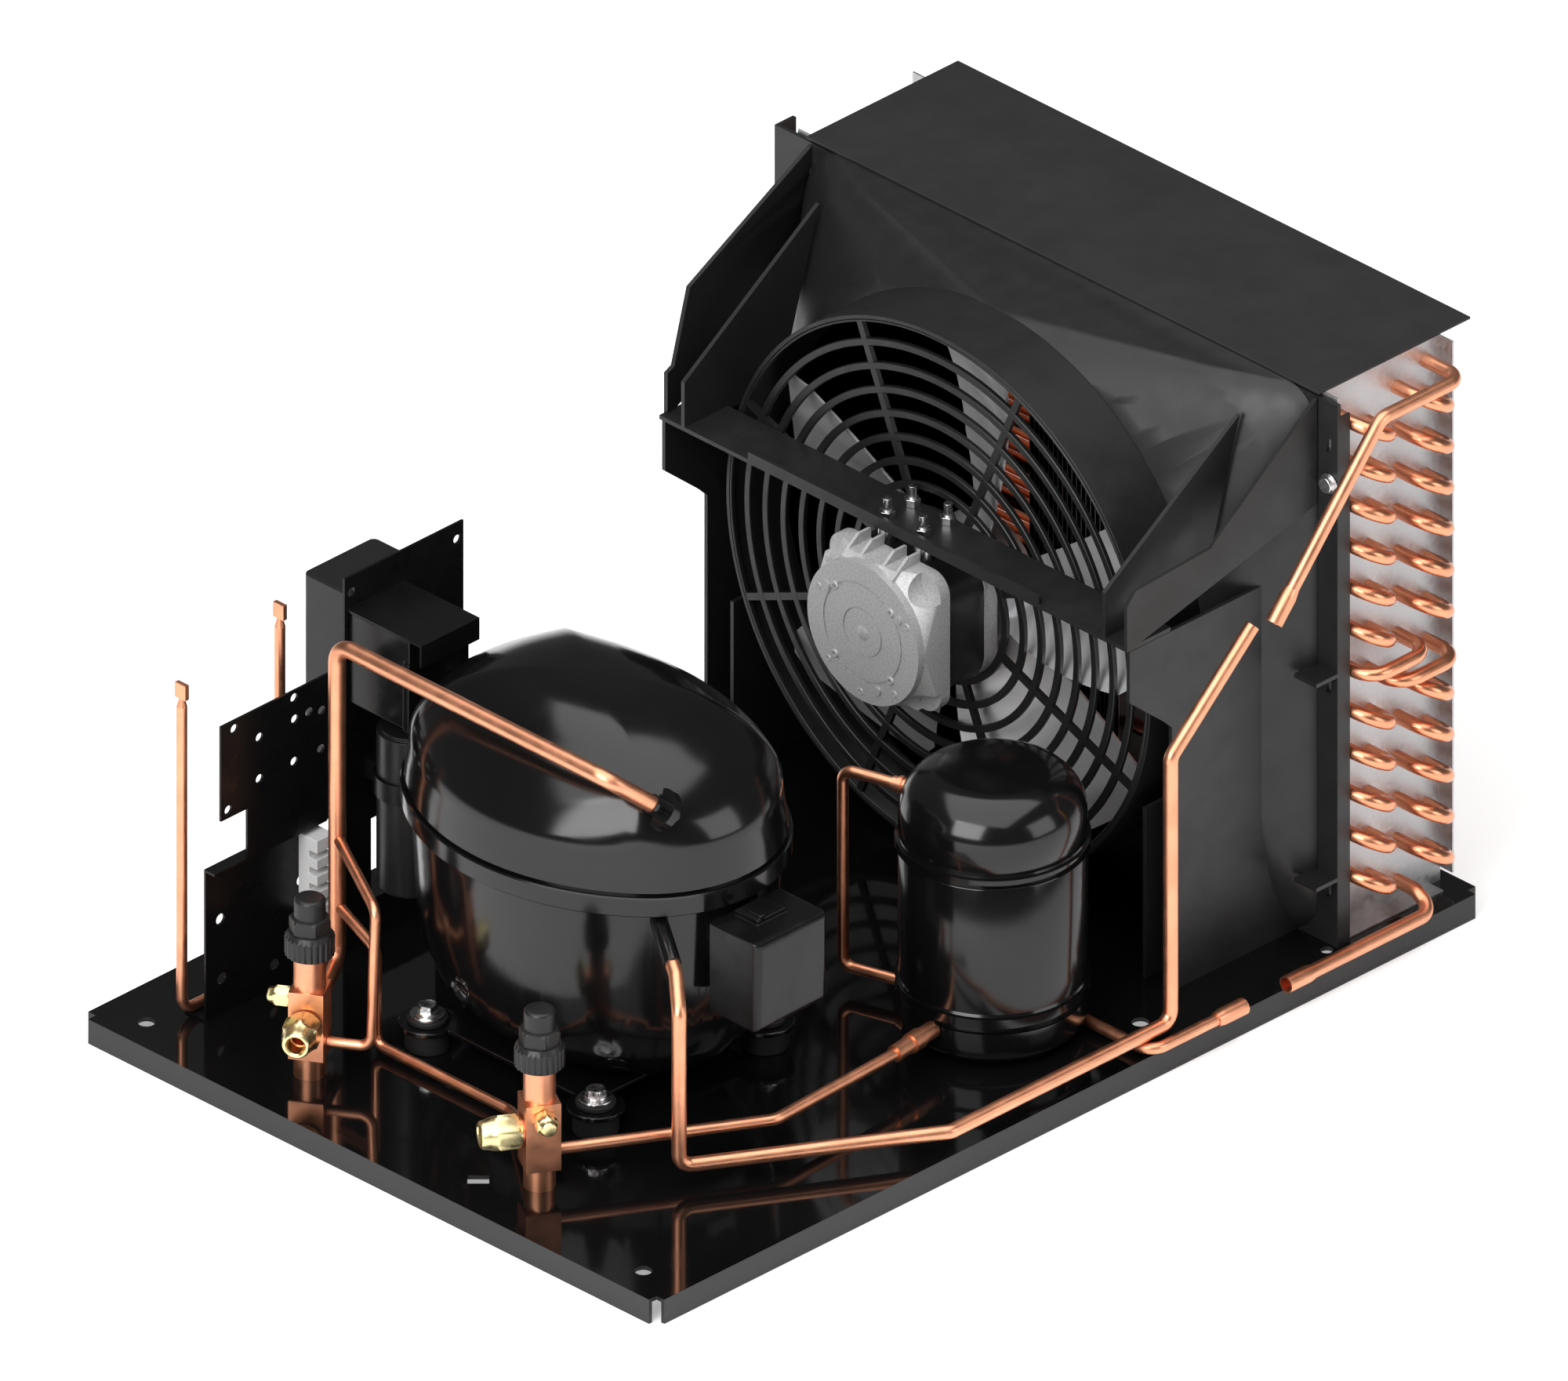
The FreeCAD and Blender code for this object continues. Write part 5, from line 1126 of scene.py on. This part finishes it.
@dataclass
class Studio:
    """The camera at the photograph's angle, the pale floor and the soft lamps."""

    azimuth: float = -45.0
    elevation: float = 30.0
    frame_width: float = 0.8389
    centre: Triple = (0.2103, 0.2194, 0.0)
    distance: float = 5.0
    clip_end: float = 60.0
    floor_size: float = 40.0
    floor_z: float = -0.0004
    floor_color: float = 0.9
    world_level: float = 0.12
    floor_glow: float = 0.1
    backdrop_glow: float = 0.38
    key: float = 85.0
    left_fill: float = 55.0
    right_fill: float = 15.0

    def build(self) -> None:
        """Place the camera, floor, world and lamps."""
        bpy.context.scene.view_settings.view_transform = "Standard"
        self.add_camera()
        self.add_floor()
        self.add_world()
        self.add_lamp("overhead", (-0.4, -0.2, 2.6), (0.0, 0.0, 0.1), 3.4, self.key)
        self.add_lamp("left", (-2.2, -0.6, 1.4), (0.0, 0.0, 0.1), 1.6, self.left_fill)
        self.add_lamp("right", (0.8, -2.4, 1.0), (0.1, 0.0, 0.15), 1.4, self.right_fill)

    def add_camera(self) -> None:
        """Add the camera, which looks along parallel lines."""
        turn, rise = math.radians(self.azimuth), math.radians(self.elevation)
        toward = Vector(
            (math.sin(turn) * math.cos(rise), -math.cos(turn) * math.cos(rise), math.sin(rise)))
        data = bpy.data.cameras.new("camera")
        data.type = "ORTHO"
        data.ortho_scale = self.frame_width
        data.clip_end = self.clip_end
        camera = added("camera", data)
        camera.location = Vector(self.centre) + toward * self.distance
        camera.rotation_euler = toward.to_track_quat("Z", "Y").to_euler()
        bpy.context.scene.camera = camera

    def add_floor(self) -> None:
        """Add the plain floor, which is white to the camera and in mirrors, with its shadows."""
        half, z = self.floor_size / 2, self.floor_z
        mesh = bpy.data.meshes.new("floor")
        mesh.from_pydata([(-half, -half, z), (half, -half, z), (half, half, z), (-half, half, z)],
                         [], [(0, 1, 2, 3)])
        floor = added("floor", mesh)
        material = new_material("floor_white")
        nodes = Nodes(material.node_tree)
        rays = nodes.node("ShaderNodeLightPath").outputs
        shown = rays["Is Camera Ray"]
        for kind in ("Is Glossy Ray", "Is Transmission Ray"):
            shown = nodes.math("MAXIMUM", shown, rays[kind])
        level = nodes.add("ShaderNodeMapRange", {
            "Value": shown, "To Min": self.floor_glow, "To Max": self.backdrop_glow})
        glow = nodes.add("ShaderNodeEmission", {"Strength": level})
        color = (*grey(self.floor_color), 1.0)
        diffuse = nodes.add("ShaderNodeBsdfDiffuse", {"Color": color})
        both = nodes.add("ShaderNodeAddShader", {0: diffuse, 1: glow})
        nodes.node("ShaderNodeOutputMaterial", {"Surface": both})
        mesh.materials.append(material)

    def add_world(self) -> None:
        """Set a dim even world, so that glossy black stays black."""
        world = bpy.data.worlds.new("studio")
        world.use_nodes = True
        background = world.node_tree.nodes["Background"]
        background.inputs["Color"].default_value = (1.0, 1.0, 1.0, 1.0)
        background.inputs["Strength"].default_value = self.world_level
        bpy.context.scene.world = world

    def add_lamp(self, name: str, place: Point, target: Point, size: float, power: float) -> None:
        """Add one soft square lamp.

        Args:
            name: The lamp's name.
            place: Where it stands, in metres.
            target: The point that it faces.
            size: The length of its side.
            power: Its power in watts.
        """
        data = bpy.data.lights.new(name, "AREA")
        data.shape = "SQUARE"
        data.size = size
        data.energy = power
        lamp = added(name, data)
        lamp.location = place
        lamp.rotation_euler = (Vector(place) - Vector(target)).to_track_quat("Z", "Y").to_euler()


def main() -> None:
    """Dress the unit, build the shaped pieces, then light it and place the camera."""
    logging.basicConfig(level=logging.INFO, format="%(name)s: %(message)s")
    dress_nodes()
    for node, width in ROUNDED.items():
        Softened(node, NODE_FINISHES[node], width).build()
    for piece in (Compressor(), Receiver(), Fan(), MotorFace(), FootBolts(), FinStack(), FanGuard(),
                  ServiceValve("liquid", (45.6, 134.2), 149.0, 239.0),
                  ServiceValve("suction", (43.0, 305.4), 211.6, 121.6), Studio()):
        piece.build()


if __name__ == "__main__":
    main()
